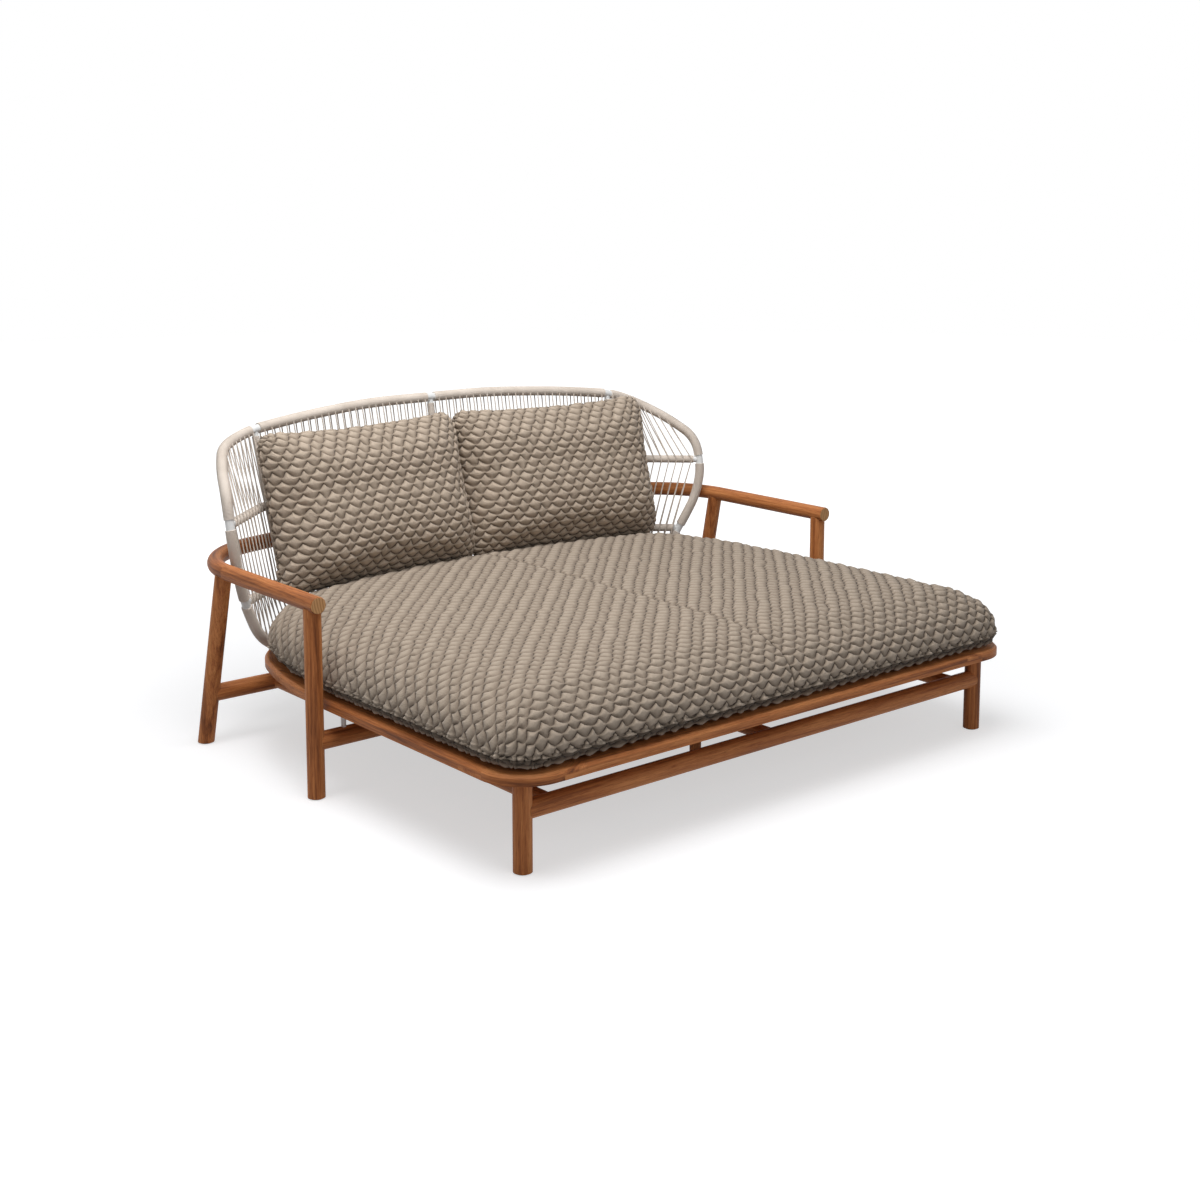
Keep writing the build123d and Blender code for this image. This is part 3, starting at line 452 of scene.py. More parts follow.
# %% [markdown]
# The cord is a round beige outdoor cord with a fine braided skin, which is a
# dense noise. A broad noise makes it a little paler and darker along its run.

# %% Cord finish
def cord_finish(name, light, dark):
    finish, tree, shader = new_finish(name)
    place = object_place(tree)
    threads = noise(tree, place, scale=1500.0, detail=2.0)
    patches = noise(tree, place, scale=16.0, detail=3.0)
    feed(shader, {
        "Base Color": ramp(tree, threads * 0.55 + patches * 0.45, [(0.32, dark), (0.66, light)]),
        "Roughness": 0.78,
        "Normal": bumps(tree, threads, strength=0.35, distance=0.0004),
        "Specular IOR Level": 0.25,
    })
    return finish


wound_cord = cord_finish("beige_wound_cord", (0.80, 0.715, 0.635), (0.58, 0.495, 0.42))
strung_cord = cord_finish("beige_strung_cord", (0.76, 0.675, 0.595), (0.54, 0.46, 0.39))
print("cord finishes")

# %% [markdown]
# The hoop, the ribs and the two back rails are bent tubes. Their centre lines
# are straight runs with round corners, written here as in the model, in metres.

# %% Lines with round corners
arc_step = math.radians(1.0)
look_ahead = 0.002


def rounded(points, radii):
    """A line through rounded corners, as closely spaced points."""
    points = [np.array(p, float) for p in points]
    line = [points[0]]
    for before, corner, after, radius in zip(points, points[1:], points[2:], radii):
        arriving = (corner - before) / np.linalg.norm(corner - before)
        leaving = (after - corner) / np.linalg.norm(after - corner)
        turn = math.acos(min(1.0, float(arriving @ leaving)))
        reach = radius * math.tan(turn / 2)
        start = corner - arriving * reach
        inward = leaving - arriving * float(arriving @ leaving)
        inward /= np.linalg.norm(inward)
        centre = start + inward * radius
        steps = max(3, int(turn / arc_step))
        for step in range(steps + 1):
            angle = turn * step / steps
            swung = arriving * math.sin(angle) - inward * math.cos(angle)
            line.append(centre + radius * swung)
    line.append(points[-1])
    return np.array(line)


def roomy_radii(points, share=0.45):
    """For each corner, the radius of an arc that takes a share of its shorter run."""
    points = [np.array(p, float) for p in points]
    radii = []
    for before, corner, after in zip(points, points[1:], points[2:]):
        arriving, leaving = corner - before, after - corner
        run = min(np.linalg.norm(arriving), np.linalg.norm(leaving))
        cosine = arriving @ leaving / np.linalg.norm(arriving) / np.linalg.norm(leaving)
        radii.append(share * run / math.tan(math.acos(min(1.0, float(cosine))) / 2))
    return radii


def lengths(line):
    """The length along a line up to each of its points."""
    steps = np.linalg.norm(np.diff(line, axis=0), axis=1)
    return np.concatenate([[0.0], np.cumsum(steps)])


def at(line, distance):
    """The point and the way of a line at a distance along it."""
    run = lengths(line)
    behind, point, ahead = (
        np.array([np.interp(distance + step, run, line[:, axis]) for axis in range(3)])
        for step in (-look_ahead, 0.0, look_ahead)
    )
    return point, (ahead - behind) / np.linalg.norm(ahead - behind)


def reach_of(line, axis, value, low=0.0, high=1.0):
    """The distance along a line, between two shares of it, where one coordinate
    takes a value."""
    run = lengths(line)
    inside = (run >= low * run[-1]) & (run <= high * run[-1])
    run, values = run[inside], line[inside, axis]
    for before in range(len(run) - 1):
        first, second = values[before] - value, values[before + 1] - value
        if first == 0 or first * second < 0:
            share = first / (first - second)
            return run[before] + share * (run[before + 1] - run[before])
    return run[-1]


def point_on(line, axis, value, low=0.0, high=1.0):
    """The point and way of a line where one coordinate takes a value."""
    return at(line, reach_of(line, axis, value, low, high))


print("helpers for lines")

# %% [markdown]
# The hoop rises from its foot, spreads to its wings and closes over the top. It
# is the same on both sides, so half of it is enough.

# %% The hoop
hoop_half_width, hoop_rear_y, hoop_wing_y = 0.921, 0.845, 0.503
hoop_top_z, hoop_low_z = 0.921, 0.2185
# The corners of half the hoop from the top's middle to the foot's, as shares of
# its half width, of the way from its rear to its wings, and of its height
hoop_shares = [
    (0.000, 0.000, 1.000), (0.260, 0.000, 1.000), (0.560, 0.155, 0.979), (0.785, 0.262, 0.947),
    (0.893, 0.315, 0.895), (0.957, 0.615, 0.822), (1.001, 0.920, 0.731), (1.005, 1.003, 0.585),
    (0.985, 0.985, 0.440), (0.938, 0.865, 0.270), (0.866, 0.755, 0.090), (0.745, 0.590, 0.000),
    (0.330, 0.270, 0.000), (0.000, 0.270, 0.000),
]
hoop_corners = [
    (across * hoop_half_width, hoop_rear_y - sweep * (hoop_rear_y - hoop_wing_y),
     hoop_low_z + rise * (hoop_top_z - hoop_low_z))
    for across, sweep, rise in hoop_shares
]
hoop_line = rounded(hoop_corners, roomy_radii(hoop_corners))
hoop_length = lengths(hoop_line)[-1]
print("half of the hoop is", round(hoop_length, 3), "m long")

# %% [markdown]
# Two rails run from side to side between the hoop's wings, each with straight
# flanks, a knee on either side and a bow between them. Three ribs stand from the
# hoop's top to its foot and bend where they pass the rails.

# %% Back rails and ribs
middle_z, lower_z = 0.655, 0.409
rib_top_x, rib_middle_x, rib_lower_x, rib_foot_x = 0.703, 0.688, 0.641, 0.575
# Where the hoop meets the side ribs and the rails: an axis, its value there, and
# the two shares of half the hoop's length between which the place lies
hoop_meetings = {
    "rib_top": (0, rib_top_x, 0.1, 0.45),
    "middle_rail": (2, middle_z, 0.2, 0.6),
    "lower_rail": (2, lower_z, 0.4, 0.8),
    "rib_foot": (0, rib_foot_x, 0.7, 1.0),
}
rail_knee_radius, rail_bow_radius = 0.25, 2.30
rib_bend_radius = 0.15


def back_rail_line(meeting, knee_x, knee_y, bow_y):
    """A rail from one side of the hoop to the other: flanks, knees and a bow."""
    height = hoop_meetings[meeting][1]
    side_x, side_y, _ = point_on(hoop_line, *hoop_meetings[meeting])[0]
    corners = [(-side_x, side_y, height), (-knee_x, knee_y, height), (0, bow_y, height),
               (knee_x, knee_y, height), (side_x, side_y, height)]
    return rounded(corners, [rail_knee_radius, rail_bow_radius, rail_knee_radius])


def rib_line(top, middle_x, lower_x, foot):
    """A rib from the hoop's top to its foot, through both rails."""
    corners = [top, point_on(middle_line, 0, middle_x, 0.4, 1.0)[0],
               point_on(lower_line, 0, lower_x, 0.4, 1.0)[0], foot]
    return rounded(corners, [rib_bend_radius, rib_bend_radius])


middle_line = back_rail_line("middle_rail", 0.690, 0.724, 0.815)
lower_line = back_rail_line("lower_rail", 0.620, 0.736, 0.806)
rib_lines = {
    "centre": rib_line(hoop_line[0], 0.0, 0.0, hoop_line[-1]),
    "side": rib_line(point_on(hoop_line, *hoop_meetings["rib_top"])[0], rib_middle_x, rib_lower_x,
                     point_on(hoop_line, *hoop_meetings["rib_foot"])[0]),
}
print("rib lengths:", {place: round(lengths(line)[-1], 3) for place, line in rib_lines.items()})

# %% [markdown]
# Cord is wound close round every tube, turn against turn, and leaves the tube
# bare where two tubes meet. A winding repeats along a path, so Geometry Nodes
# make it: the path is cut into four short steps a turn, each step gets the
# radius of a round cord there, and a ring is swept through them.

# %% The winding tree
def new_tree(name, inputs):
    """A Geometry Nodes tree, what it is given by name, and its end node."""
    tree = bpy.data.node_groups.new(name, "GeometryNodeTree")
    for label, kind in [("Geometry", "Geometry"), *inputs, ("Finish", "Material")]:
        tree.interface.new_socket(label, in_out="INPUT", socket_type="NodeSocket" + kind)
    tree.interface.new_socket("Geometry", in_out="OUTPUT", socket_type="NodeSocketGeometry")
    start = tree.nodes.new("NodeGroupInput")
    given = {socket.name: Flow(socket) for socket in start.outputs}
    return tree, given, tree.nodes.new("NodeGroupOutput")


def close_tree(tree, mesh, given, end):
    """End a tree in smooth shading, Set Material and Realize Instances."""
    smooth = flow(add(tree, "GeometryNodeSetShadeSmooth", {"Geometry": mesh}))
    painted = flow(add(tree, "GeometryNodeSetMaterial", {
        "Geometry": smooth, "Material": given["Finish"],
    }))
    feed(end, {0: flow(add(tree, "GeometryNodeRealizeInstances", {"Geometry": painted}))})


def swept(tree, curve, radius, sides):
    """A closed round skin along a curve, with a radius at each point."""
    ring = add(tree, "GeometryNodeCurvePrimitiveCircle", {"Resolution": sides, "Radius": 1.0})
    return flow(add(tree, "GeometryNodeCurveToMesh", {
        "Curve": curve, "Profile Curve": flow(ring), "Scale": radius, "Fill Caps": True,
    }))


def winding_tree():
    tree, given, end = new_tree("wound_cord", [
        ("Tube radius", "Float"), ("Cord thickness", "Float"), ("Sides", "Int"),
    ])
    thickness = given["Cord thickness"]
    path = flow(add(tree, "GeometryNodeMeshToCurve", {"Mesh": given["Geometry"]}))
    cut = flow(add(tree, "GeometryNodeResampleCurve", {
        "Curve": path, "Length": thickness / steps_a_turn,
    }, mode="LENGTH"))
    number = flow(add(tree, "GeometryNodeSplineParameter"), "Index")
    off_centre = number.math("MODULO", steps_a_turn) / steps_a_turn * 2.0 - 1.0
    bulge = (1.0 - off_centre * off_centre).math("SQRT")
    radius = given["Tube radius"] + thickness / 2.0 * (bulge + 1.0)
    close_tree(tree, swept(tree, cut, radius, given["Sides"]), given, end)
    return tree


steps_a_turn = 4.0
wound_cord_tree = winding_tree()


def build(name, lines, tree, values, closed=False):
    """A plain mesh object that a tree makes from some lines."""
    points, edges = [], []
    for line in lines:
        first = len(points)
        points += [tuple(p) for p in line]
        edges += [(i, i + 1) for i in range(first, len(points) - 1)]
        if closed:
            edges.append((len(points) - 1, first))
    mesh = bpy.data.meshes.new(name + "_lines")
    mesh.from_pydata(points, edges, [])
    return finished(placed(name + "_lines", mesh), name, tree, values)


def finished(draft, name, tree, values):
    """Run a tree on a draft object and keep its result as a plain mesh object."""
    modifier = draft.modifiers.new("nodes", "NODES")
    modifier.node_group = tree
    sockets = {item.name: item.identifier for item in tree.interface.items_tree
               if item.in_out == "INPUT"}
    for label, value in values.items():
        modifier[sockets[label]] = value
    graph = bpy.context.evaluated_depsgraph_get()
    mesh = bpy.data.meshes.new_from_object(draft.evaluated_get(graph))
    mesh.name = name
    bpy.data.objects.remove(draft)
    mesh.calc_loop_triangles()
    print(name, "has", len(mesh.loop_triangles), "triangles")
    return placed(name, mesh)


print("winding tree:", len(wound_cord_tree.nodes), "nodes")

# %% [markdown]
# Each winding stops a little before the places where tubes meet. A helper cuts
# a line into the stretches between its bare places, and mirrors them where the
# real tube goes on the other side.

# %% The windings
bare_half = 0.015
bare_end = 0.0215
shortest_stretch = 0.03
cord_thickness = 0.0036
hoop_radius, rib_radius, rail_radius = 0.0129, 0.0089, 0.0104


def stretches(line, bare):
    """The parts of a line between bare places, each a (middle, half length)."""
    run = lengths(line)
    edges = [0.0] + [m + s * h for m, h in sorted(bare) for s in (-1, 1)] + [run[-1]]
    parts = []
    for low, high in zip(edges[::2], edges[1::2]):
        if high - low > shortest_stretch:
            stops = np.concatenate([[low], run[(run > low) & (run < high)], [high]])
            parts.append(np.stack([np.interp(stops, run, line[:, axis]) for axis in range(3)], 1))
    return parts


def mirrored(lines):
    return [line * np.array([-1.0, 1.0, 1.0]) for line in lines]


def wind(name, lines, tube_radius, sides, sleeve):
    """A winding on some stretches of tube, in place of the model's sleeves."""
    winding = build(name, lines, wound_cord_tree, {
        "Tube radius": tube_radius, "Sides": sides, "Cord thickness": cord_thickness,
        "Finish": wound_cord,
    })
    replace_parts(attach(winding, "frame"), sleeve)


hoop_marks = [(0.0, bare_half), (hoop_length, bare_half)]
hoop_marks += [(reach_of(hoop_line, *place), bare_half) for place in hoop_meetings.values()]
hoop_stretches = stretches(hoop_line, hoop_marks)
wind("hoop_winding", hoop_stretches + mirrored(hoop_stretches), hoop_radius, 14, "hoop_wrap")

rib_stretches = []
for place, line in rib_lines.items():
    marks = [(0.0, bare_end), (lengths(line)[-1], bare_end)]
    marks += [(reach_of(line, 2, z), bare_half) for z in (middle_z, lower_z)]
    parts = stretches(line, marks)
    rib_stretches += parts + (mirrored(parts) if place == "side" else [])
wind("rib_windings", rib_stretches, rib_radius, 12, "rib_wraps")

for stem, line, rib_x in (("middle_rail", middle_line, rib_middle_x),
                          ("lower_rail", lower_line, rib_lower_x)):
    total = lengths(line)[-1]
    right = reach_of(line, 0, rib_x, 0.5, 1.0)
    marks = [(0.0, bare_end), (total - right, bare_half), (total / 2, bare_half),
             (right, bare_half), (total, bare_end)]
    wind(stem + "_winding", stretches(line, marks), rail_radius, 12, stem + "_wrap")

# %% [markdown]
# The strung cords run from the hoop's top to its bottom. Each is one closed
# loop: over the top tube, down in front of both rails, under the bottom tube
# and up behind them, so the rails and ribs stand between the two layers. At the
# hoop the loops lie under the winding, which hides their ends.

# %% The strung cords
cord_radius = 0.0020
# The distance from each tube's middle to the cord: inside the winding at the hoop
wrap_radii = (0.0105, 0.0142, 0.0142, 0.0105)
half_turn_points = 9
inner_cords, outer_cords = 24, 11
# How far out the strung cords reach on the hoop's top and on its foot
wing_top_x, wing_foot_x = 0.893, 0.850


def cord_levels():
    """For each cord right of the middle, the four tubes that it passes."""
    wing_share, hip_share = (reach_of(hoop_line, *hoop_meetings[rail]) / hoop_length
                             for rail in ("middle_rail", "lower_rail"))
    wing_x, hip_x = (at(hoop_line, share * hoop_length)[0][0] for share in (wing_share, hip_share))
    rib = (rib_top_x, rib_middle_x, rib_lower_x, rib_foot_x)
    for count, inner, outer in ((inner_cords, (0, 0, 0, 0), rib),
                                (outer_cords, rib, (wing_top_x, wing_x, hip_x, wing_foot_x))):
        for number in range(1, count + 1):
            share = number / (count + 1)
            top, middle, lower, foot = (a + (b - a) * share for a, b in zip(inner, outer))
            yield (point_on(hoop_line, 0, top, 0, wing_share),
                   point_on(middle_line, 0, middle, 0.5, 1),
                   point_on(lower_line, 0, lower, 0.5, 1),
                   point_on(hoop_line, 0, foot, hip_share, 1))


def around(place, way, run, radius, turn):
    """The half turn of a cord round a tube, from its front to its back."""
    face = np.cross(way, run)
    face /= np.linalg.norm(face)
    face *= -np.sign(face[1])
    slope = abs(float(way @ run)) / np.linalg.norm(run)
    past = -run / np.linalg.norm(run) * turn / math.sqrt(1 - slope * slope)
    angles = np.linspace(0.0, math.pi, half_turn_points)
    return [place + radius * (math.cos(a) * face + math.sin(a) * past) for a in angles]


def cord_loop(levels):
    """One closed loop through the four tubes."""
    places = [place for place, _ in levels]
    half_turns = []
    for index, ((place, way), wrap_radius) in enumerate(zip(levels, wrap_radii)):
        run = places[min(index + 1, 3)] - places[max(index - 1, 0)]
        turn = -1 if index == 3 else 1
        half_turns.append(around(place, way, run, wrap_radius + cord_radius, turn))
    top, middle, lower, foot = half_turns
    return np.array(top[::-1] + [middle[0], lower[0]] + foot + [lower[-1], middle[-1]])


def round_cord_tree():
    tree, given, end = new_tree("round_cord", [("Cord radius", "Float"), ("Sides", "Int")])
    path = flow(add(tree, "GeometryNodeMeshToCurve", {"Mesh": given["Geometry"]}))
    close_tree(tree, swept(tree, path, given["Cord radius"], given["Sides"]), given, end)
    return tree


loops = [cord_loop(levels) for levels in cord_levels()]
strung_cords = build("strung_cords", loops + mirrored(loops), round_cord_tree(),
                     {"Cord radius": cord_radius, "Sides": 8, "Finish": strung_cord}, closed=True)
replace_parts(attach(strung_cords, "frame"), "cords_front", "cords_back")

# %% [markdown]
# The cloth is a thick quilted weave. It bulges in scales like a fish's, each with
# a pointed top and a round foot, in rows that are shifted by half a scale. Every
# scale rises slowly from its foot and drops sharply at its point. The scales are
# real relief: the same small node network gives their height to the mesh and to
# the finish, from a place on the cloth that every point of a piece carries.

# %% The cloth's scales
scale_width = 0.0460
scale_period = 0.0475
foot_share = 0.66
wander_scale, wander_across, wander_up = 15.0, 0.024, 0.020
pinch, pinch_loss = 0.055, 0.10
bulge_lean, bulge_power, short_power = 1.5, 0.6, 0.4
foot_painted_light = 0.35


def spread(value, width):
    """A noise's value, made to run from half a width below 0 to half above it."""
    return value * width - width / 2


def scale_height(tree, place):
    """The height of the cloth, from 0 in the creases to 1 on the scales, and the shade
    painted into its colour: darkest in the creases at the points, fading at the feet."""
    across, up, _ = parts_of(tree, place)
    drift = parts_of(tree, noise(tree, place, wander_scale, detail=2.0, roughness=0.6,
                                 output="Color"))
    column = (across + spread(drift[0], wander_across)) / scale_width
    row = (up + spread(drift[1], wander_up)) / scale_period
    # Every second scale is broad and full, the ones between are pinched
    turn = (column - row) * math.pi
    column = (turn.math("SINE") * pinch + column) * math.pi
    fullness = turn.math("COSINE") * -pinch_loss + (1 - pinch_loss)
    # The feet of the two sets of rows are half waves, half a scale apart. They
    # reach less than a row down, so a low bridge joins the scales of one row.
    near_foot, far_foot = abs(column.math("COSINE")), abs(column.math("SINE"))
    length = (near_foot - far_foot) * (foot_share / 2) + 0.5
    rise = (near_foot * (foot_share / 2) + row).math("FRACT")
    beyond = rise.math("GREATER_THAN", length)
    own_length = either(tree, beyond, length, 1.0 - length)
    share = (rise - beyond * length) / own_length.math("MAXIMUM", 0.02)
    wave = (share ** bulge_lean * math.pi).math("SINE")
    bulge = wave.math("MAXIMUM", 0.0) ** bulge_power
    full = own_length / ((1 + foot_share) / 2)
    height = bulge * fullness * full ** short_power
    # The second value is shade painted into the colour: dark in the creases, lighter towards the
    # feet of long scales.
    foot = full * full * (1.0 - share)
    return height, foot * foot_painted_light + height


print("scales:", scale_width, "m wide, rows", scale_period / 2, "m apart")

# %% [markdown]
# The relief tree lifts a piece by the scales and sinks it at its seams. Beside a
# seam the cloth is gathered into short ragged ridges.

# %% The relief tree
ruffle_pitch, ruffle_reach, ruffle_rise, ruffle_wander = 0.0105, 0.0130, 0.0044, 0.022
# Scales of this height keep the cloth where it is
level_height = 0.6
seam_flattening, most_flattening = 75.0, 0.8


def ruffle_height(tree, beside):
    """Ragged ridges along a seam, from the distance to it, that fade away from it."""
    where = flow(add(tree, "GeometryNodeInputPosition"))
    ragged = noise(tree, where, scale=42.0, detail=2.0, roughness=0.6)
    drifted = beside + spread(ragged, ruffle_wander)
    wave = (drifted * (2 * math.pi / ruffle_pitch)).math("COSINE")
    near = beside / ruffle_reach
    return wave * (near * near * -1.0).math("EXPONENT") * ruffle_rise


def relief_tree():
    """Raises every point of a piece along its normal by the scales' height, and
    sinks it at the seams."""
    tree, given, end = new_tree("cloth_relief", [("Depth", "Float")])
    place, sunk, beside = (
        flow(add(tree, "GeometryNodeInputNamedAttribute", {"Name": name}, data_type=kind))
        for name, kind in (("cloth_place", "FLOAT_VECTOR"), ("seam_depth", "FLOAT"),
                           ("seam_distance", "FLOAT"))
    )
    height, _ = scale_height(tree, place)
    kept = 1.0 - (sunk * seam_flattening).math("MINIMUM", most_flattening)
    raised = (height - level_height) * given["Depth"] * kept
    shift = raised + ruffle_height(tree, beside) - sunk
    normal = flow(add(tree, "GeometryNodeInputNormal"))
    offset = add(tree, "ShaderNodeVectorMath", {0: normal, "Scale": shift}, operation="SCALE")
    moved = add(tree, "GeometryNodeSetPosition", {
        "Geometry": given["Geometry"], "Offset": flow(offset),
    })
    close_tree(tree, flow(moved), given, end)
    return tree


cloth_relief = relief_tree()
print("relief tree:", len(cloth_relief.nodes), "nodes")

# %% [markdown]
# The cloth's colour is a mixed taupe yarn with shade painted into it: lighter on
# the scales, darker in the creases where they tuck under, and darker along the
# seams. Fine threads run across each scale and give it its grain, soft folds
# crumple it, and a little sheen catches the light at grazing angles.

# %% Cloth finish
painted_crease_shade = (0.026, 0.018, 0.012)
yarn_dark_shaded, yarn_light_lit = (0.225, 0.175, 0.132), (0.43, 0.35, 0.275)
tucked_shade = (0.30, 0.28, 0.26)
thread_stretch, thread_slant = (1.0, 3.0, 1.0), (0, 0, 0.5)
# The ramp of the tucked shade runs over seams of up to one centimetre
tucked_depth_scale = 100.0


def cloth_finish(name, painted_lightening):
    finish, tree, shader = new_finish(name)
    place = flow(add(tree, "ShaderNodeAttribute", attribute_name="cloth_place"), "Vector")
    height, painted_shading = scale_height(tree, place)
    combed = flow(add(tree, "ShaderNodeMapping", {
        "Vector": place, "Scale": thread_stretch, "Rotation": thread_slant,
    }))
    threads = noise(tree, combed, scale=420.0, detail=3.0, roughness=0.6)
    creases = noise(tree, place, scale=70.0, detail=3.0, distortion=0.8)
    # Painted shade: the creases are darkened and the scales lightened, mixed with the threads' own
    # tone.
    tint = ramp(tree, threads * 0.4 + painted_shading * 0.6, [
        (0.24, painted_crease_shade),
        (0.40, tuple(painted_lightening * part for part in yarn_dark_shaded)),
        (0.80, tuple(painted_lightening * part for part in yarn_light_lit)),
    ])
    # Painted shade: the cloth is darkened where a seam sinks it and along the band tucked under
    # the side seam.
    sunk = flow(add(tree, "ShaderNodeAttribute", attribute_name="seam_depth"), "Fac")
    tucked = ramp(tree, sunk * tucked_depth_scale, [(0.15, white), (0.65, tucked_shade)])
    relief = bumps(tree, height, strength=0.8, distance=0.004)
    folded = bumps(tree, abs(creases * 2.0 - 1.0), strength=0.5, distance=0.004, Normal=relief)
    feed(shader, {
        "Base Color": mixed(tree, 1.0, tint, tucked, "MULTIPLY"),
        "Roughness": 0.88,
        "Normal": bumps(tree, threads, strength=0.35, distance=0.0008, Normal=folded),
        "Specular IOR Level": 0.15,
        "Sheen Weight": 0.12,
    })
    return finish


mattress_taupe = cloth_finish("taupe_quilted_cloth", 1.0)
# Painted light: the cushions' cloth is the same taupe, painted lighter for the stronger light that
# falls on them.
cushion_taupe = cloth_finish("taupe_cushion_cloth", 1.26)
print("cloth finishes")

# %% [markdown]
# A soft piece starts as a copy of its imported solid, remeshed into even squares.
# After its stuffing it is subdivided, so that the scales have enough points.
# These helpers make the copy, read and move its points, and refine it.

# %% Meshes of soft pieces
def soft_copy(node, square):
    """An evenly meshed copy of a CAD solid."""
    piece = placed(node + "_form", nodes[node].data.copy())
    piece.data.materials.clear()
    bpy.context.view_layer.objects.active = piece
    weld = piece.modifiers.new("weld", "WELD")
    weld.merge_threshold = 0.0001
    remesh = piece.modifiers.new("remesh", "REMESH")
    remesh.mode = "VOXEL"
    remesh.voxel_size = square
    smooth = piece.modifiers.new("smooth", "SMOOTH")
    smooth.factor, smooth.iterations = 0.5, 3
    bake_modifiers(piece)
    return piece


def bake_modifiers(piece):
    """Turn a piece with its modifiers into a plain mesh."""
    graph = bpy.context.evaluated_depsgraph_get()
    mesh = bpy.data.meshes.new_from_object(piece.evaluated_get(graph))
    piece.modifiers.clear()
    piece.data = mesh


def coordinates(piece):
    flat = np.empty(len(piece.data.vertices) * 3)
    piece.data.vertices.foreach_get("co", flat)
    return flat.reshape(-1, 3)


def put(piece, places):
    piece.data.vertices.foreach_set("co", np.ascontiguousarray(places, float).ravel())
    piece.data.update()


def point_normals(piece):
    flat = np.empty(len(piece.data.vertices) * 3, np.float32)
    piece.data.vertex_normals.foreach_get("vector", flat)
    return flat.reshape(-1, 3).astype(float)


def refine(piece, times):
    """Subdivide a piece smoothly."""
    finer = piece.modifiers.new("finer", "SUBSURF")
    finer.levels = finer.render_levels = times
    bake_modifiers(piece)


def split_above(piece, level):
    """Split every edge above a level once more."""
    form = bmesh.new()
    form.from_mesh(piece.data)
    upper = [e for e in form.edges if min(e.verts[0].co.z, e.verts[1].co.z) > level]
    bmesh.ops.subdivide_edges(form, edges=upper, cuts=1, use_grid_fill=True)
    form.to_mesh(piece.data)
    form.free()


print("helpers for soft meshes")

# %% [markdown]
# A pad is stuffed by Blender's cloth: it starts a little smaller, air pressure
# inside swells it, and a cap keeps every point near where it began.

# %% Stuffing
simulated_frames = 20


def swell(piece, shrink, cap, pressure, held=None):
    """Start smaller, blow the piece up with cloth, and cap how far points move.
    The cloth is pinned at the held points."""
    began = coordinates(piece)
    put(piece, began - point_normals(piece) * shrink)
    cloth = piece.modifiers.new("cloth", "CLOTH").settings
    cloth.use_pressure = True
    cloth.uniform_pressure_force = pressure
    cloth.effector_weights.gravity = 0.0
    cloth.quality = 4
    if held is not None:
        group = piece.vertex_groups.new(name="held")
        group.add([int(i) for i in np.nonzero(held)[0]], 1.0, "REPLACE")
        cloth.vertex_group_mass = "held"
    for number in range(simulated_frames):
        bpy.context.scene.frame_set(number + 1)
    bake_modifiers(piece)
    bpy.context.scene.frame_set(1)
    step = coordinates(piece) - began
    far = np.linalg.norm(step, axis=1, keepdims=True)
    put(piece, began + step * np.minimum(1.0, cap / np.maximum(far, 1e-9)))
    piece.vertex_groups.clear()


print("stuffing takes", simulated_frames, "frames")

# %% [markdown]
# Every point of a pad carries its place on the flat cloth, how deep a seam sinks
# it, and its distance from the seam, and the relief tree reads all three.

# %% Places on the cloth
def carry(piece, name, kind, values):
    """Store one value for each point of a piece."""
    attribute = piece.data.attributes.new(name, kind, "POINT")
    field = "vector" if kind == "FLOAT_VECTOR" else "value"
    attribute.data.foreach_set(field, np.ascontiguousarray(values, np.float32).ravel())


def groove(distance, half_width, depth):
    """How deep a seam sinks the cloth at a distance from it."""
    return depth * np.exp(-(distance / half_width) ** 2)


def extra_length(profile):
    """Heights, and how much longer the cloth is there than the plan shows."""
    points = np.array(profile)[::-1]
    steps = np.linalg.norm(np.diff(points, axis=0), axis=1)
    outward = -np.diff(points[:, 0])
    extra = np.concatenate([[0.0], np.cumsum(steps - outward)])
    return points[::-1, 1], extra[::-1]


def outward_push(normals, across):
    """The direction, square to an axis, in which a surface faces."""
    flat = normals - np.outer(normals @ across, across)
    size = np.linalg.norm(flat, axis=1, keepdims=True)
    return flat / np.maximum(size, 1e-6)


def cover(piece, node, cloth, sunk, beside, depth, finish):
    """Give a piece the cloth's relief and finish, and let it stand for its node."""
    carry(piece, "cloth_place", "FLOAT_VECTOR", cloth)
    carry(piece, "seam_depth", "FLOAT", sunk)
    carry(piece, "seam_distance", "FLOAT", beside)
    piece = finished(piece, node + "_cloth", cloth_relief, {"Depth": depth, "Finish": finish})
    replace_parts(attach(piece, node), node)


print("helpers for the cloth")

# %% [markdown]
# The mattress's cloth runs over the top and down the sides in one sheet, with a
# seam from front to back and one round the side, below which it tucks under.
# A point's place on the cloth is its plan place, pushed outwards by the extra
# length that the cloth takes where it curves down.

# %% The mattress
mattress_square, mattress_relief = 0.030, 0.0084
flat_foot = 0.002
mattress_low, mattress_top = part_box("mattress")
seam_rise = 0.038
side_seam_z = mattress_low.z + seam_rise
shoulder_z = mattress_top.z - 0.013
shoulder_inset = 0.130
# How far in from the side and how high the cloth lies, from the foot to the crown
mattress_profile = [(0.014, mattress_low.z), (0.0035, side_seam_z - 0.014), (0.0, side_seam_z)]
for inset_share, rise_share in ((0.03, 0.25), (0.13, 0.52), (0.37, 0.8), (0.66, 0.95), (1, 1)):
    height = side_seam_z + rise_share * (shoulder_z - side_seam_z)
    mattress_profile.append((shoulder_inset * inset_share, height))
mattress_profile.append((0.290, mattress_top.z))
middle_seam = {"half_width": 0.004, "depth": 0.006}
tuck, tuck_at_foot = 0.005, 0.004


def tucked_depth(over_seam, normals):
    """How deep the side is drawn in below its seam. The flat underside isn't."""
    below = np.clip(-over_seam / seam_rise, 0.0, 1.0)
    sideways = np.clip(2 * np.linalg.norm(normals[:, :2], axis=1) - 0.6, 0, 1)
    return np.clip(below * 8, 0, 1) * (tuck + tuck_at_foot * below) * sideways


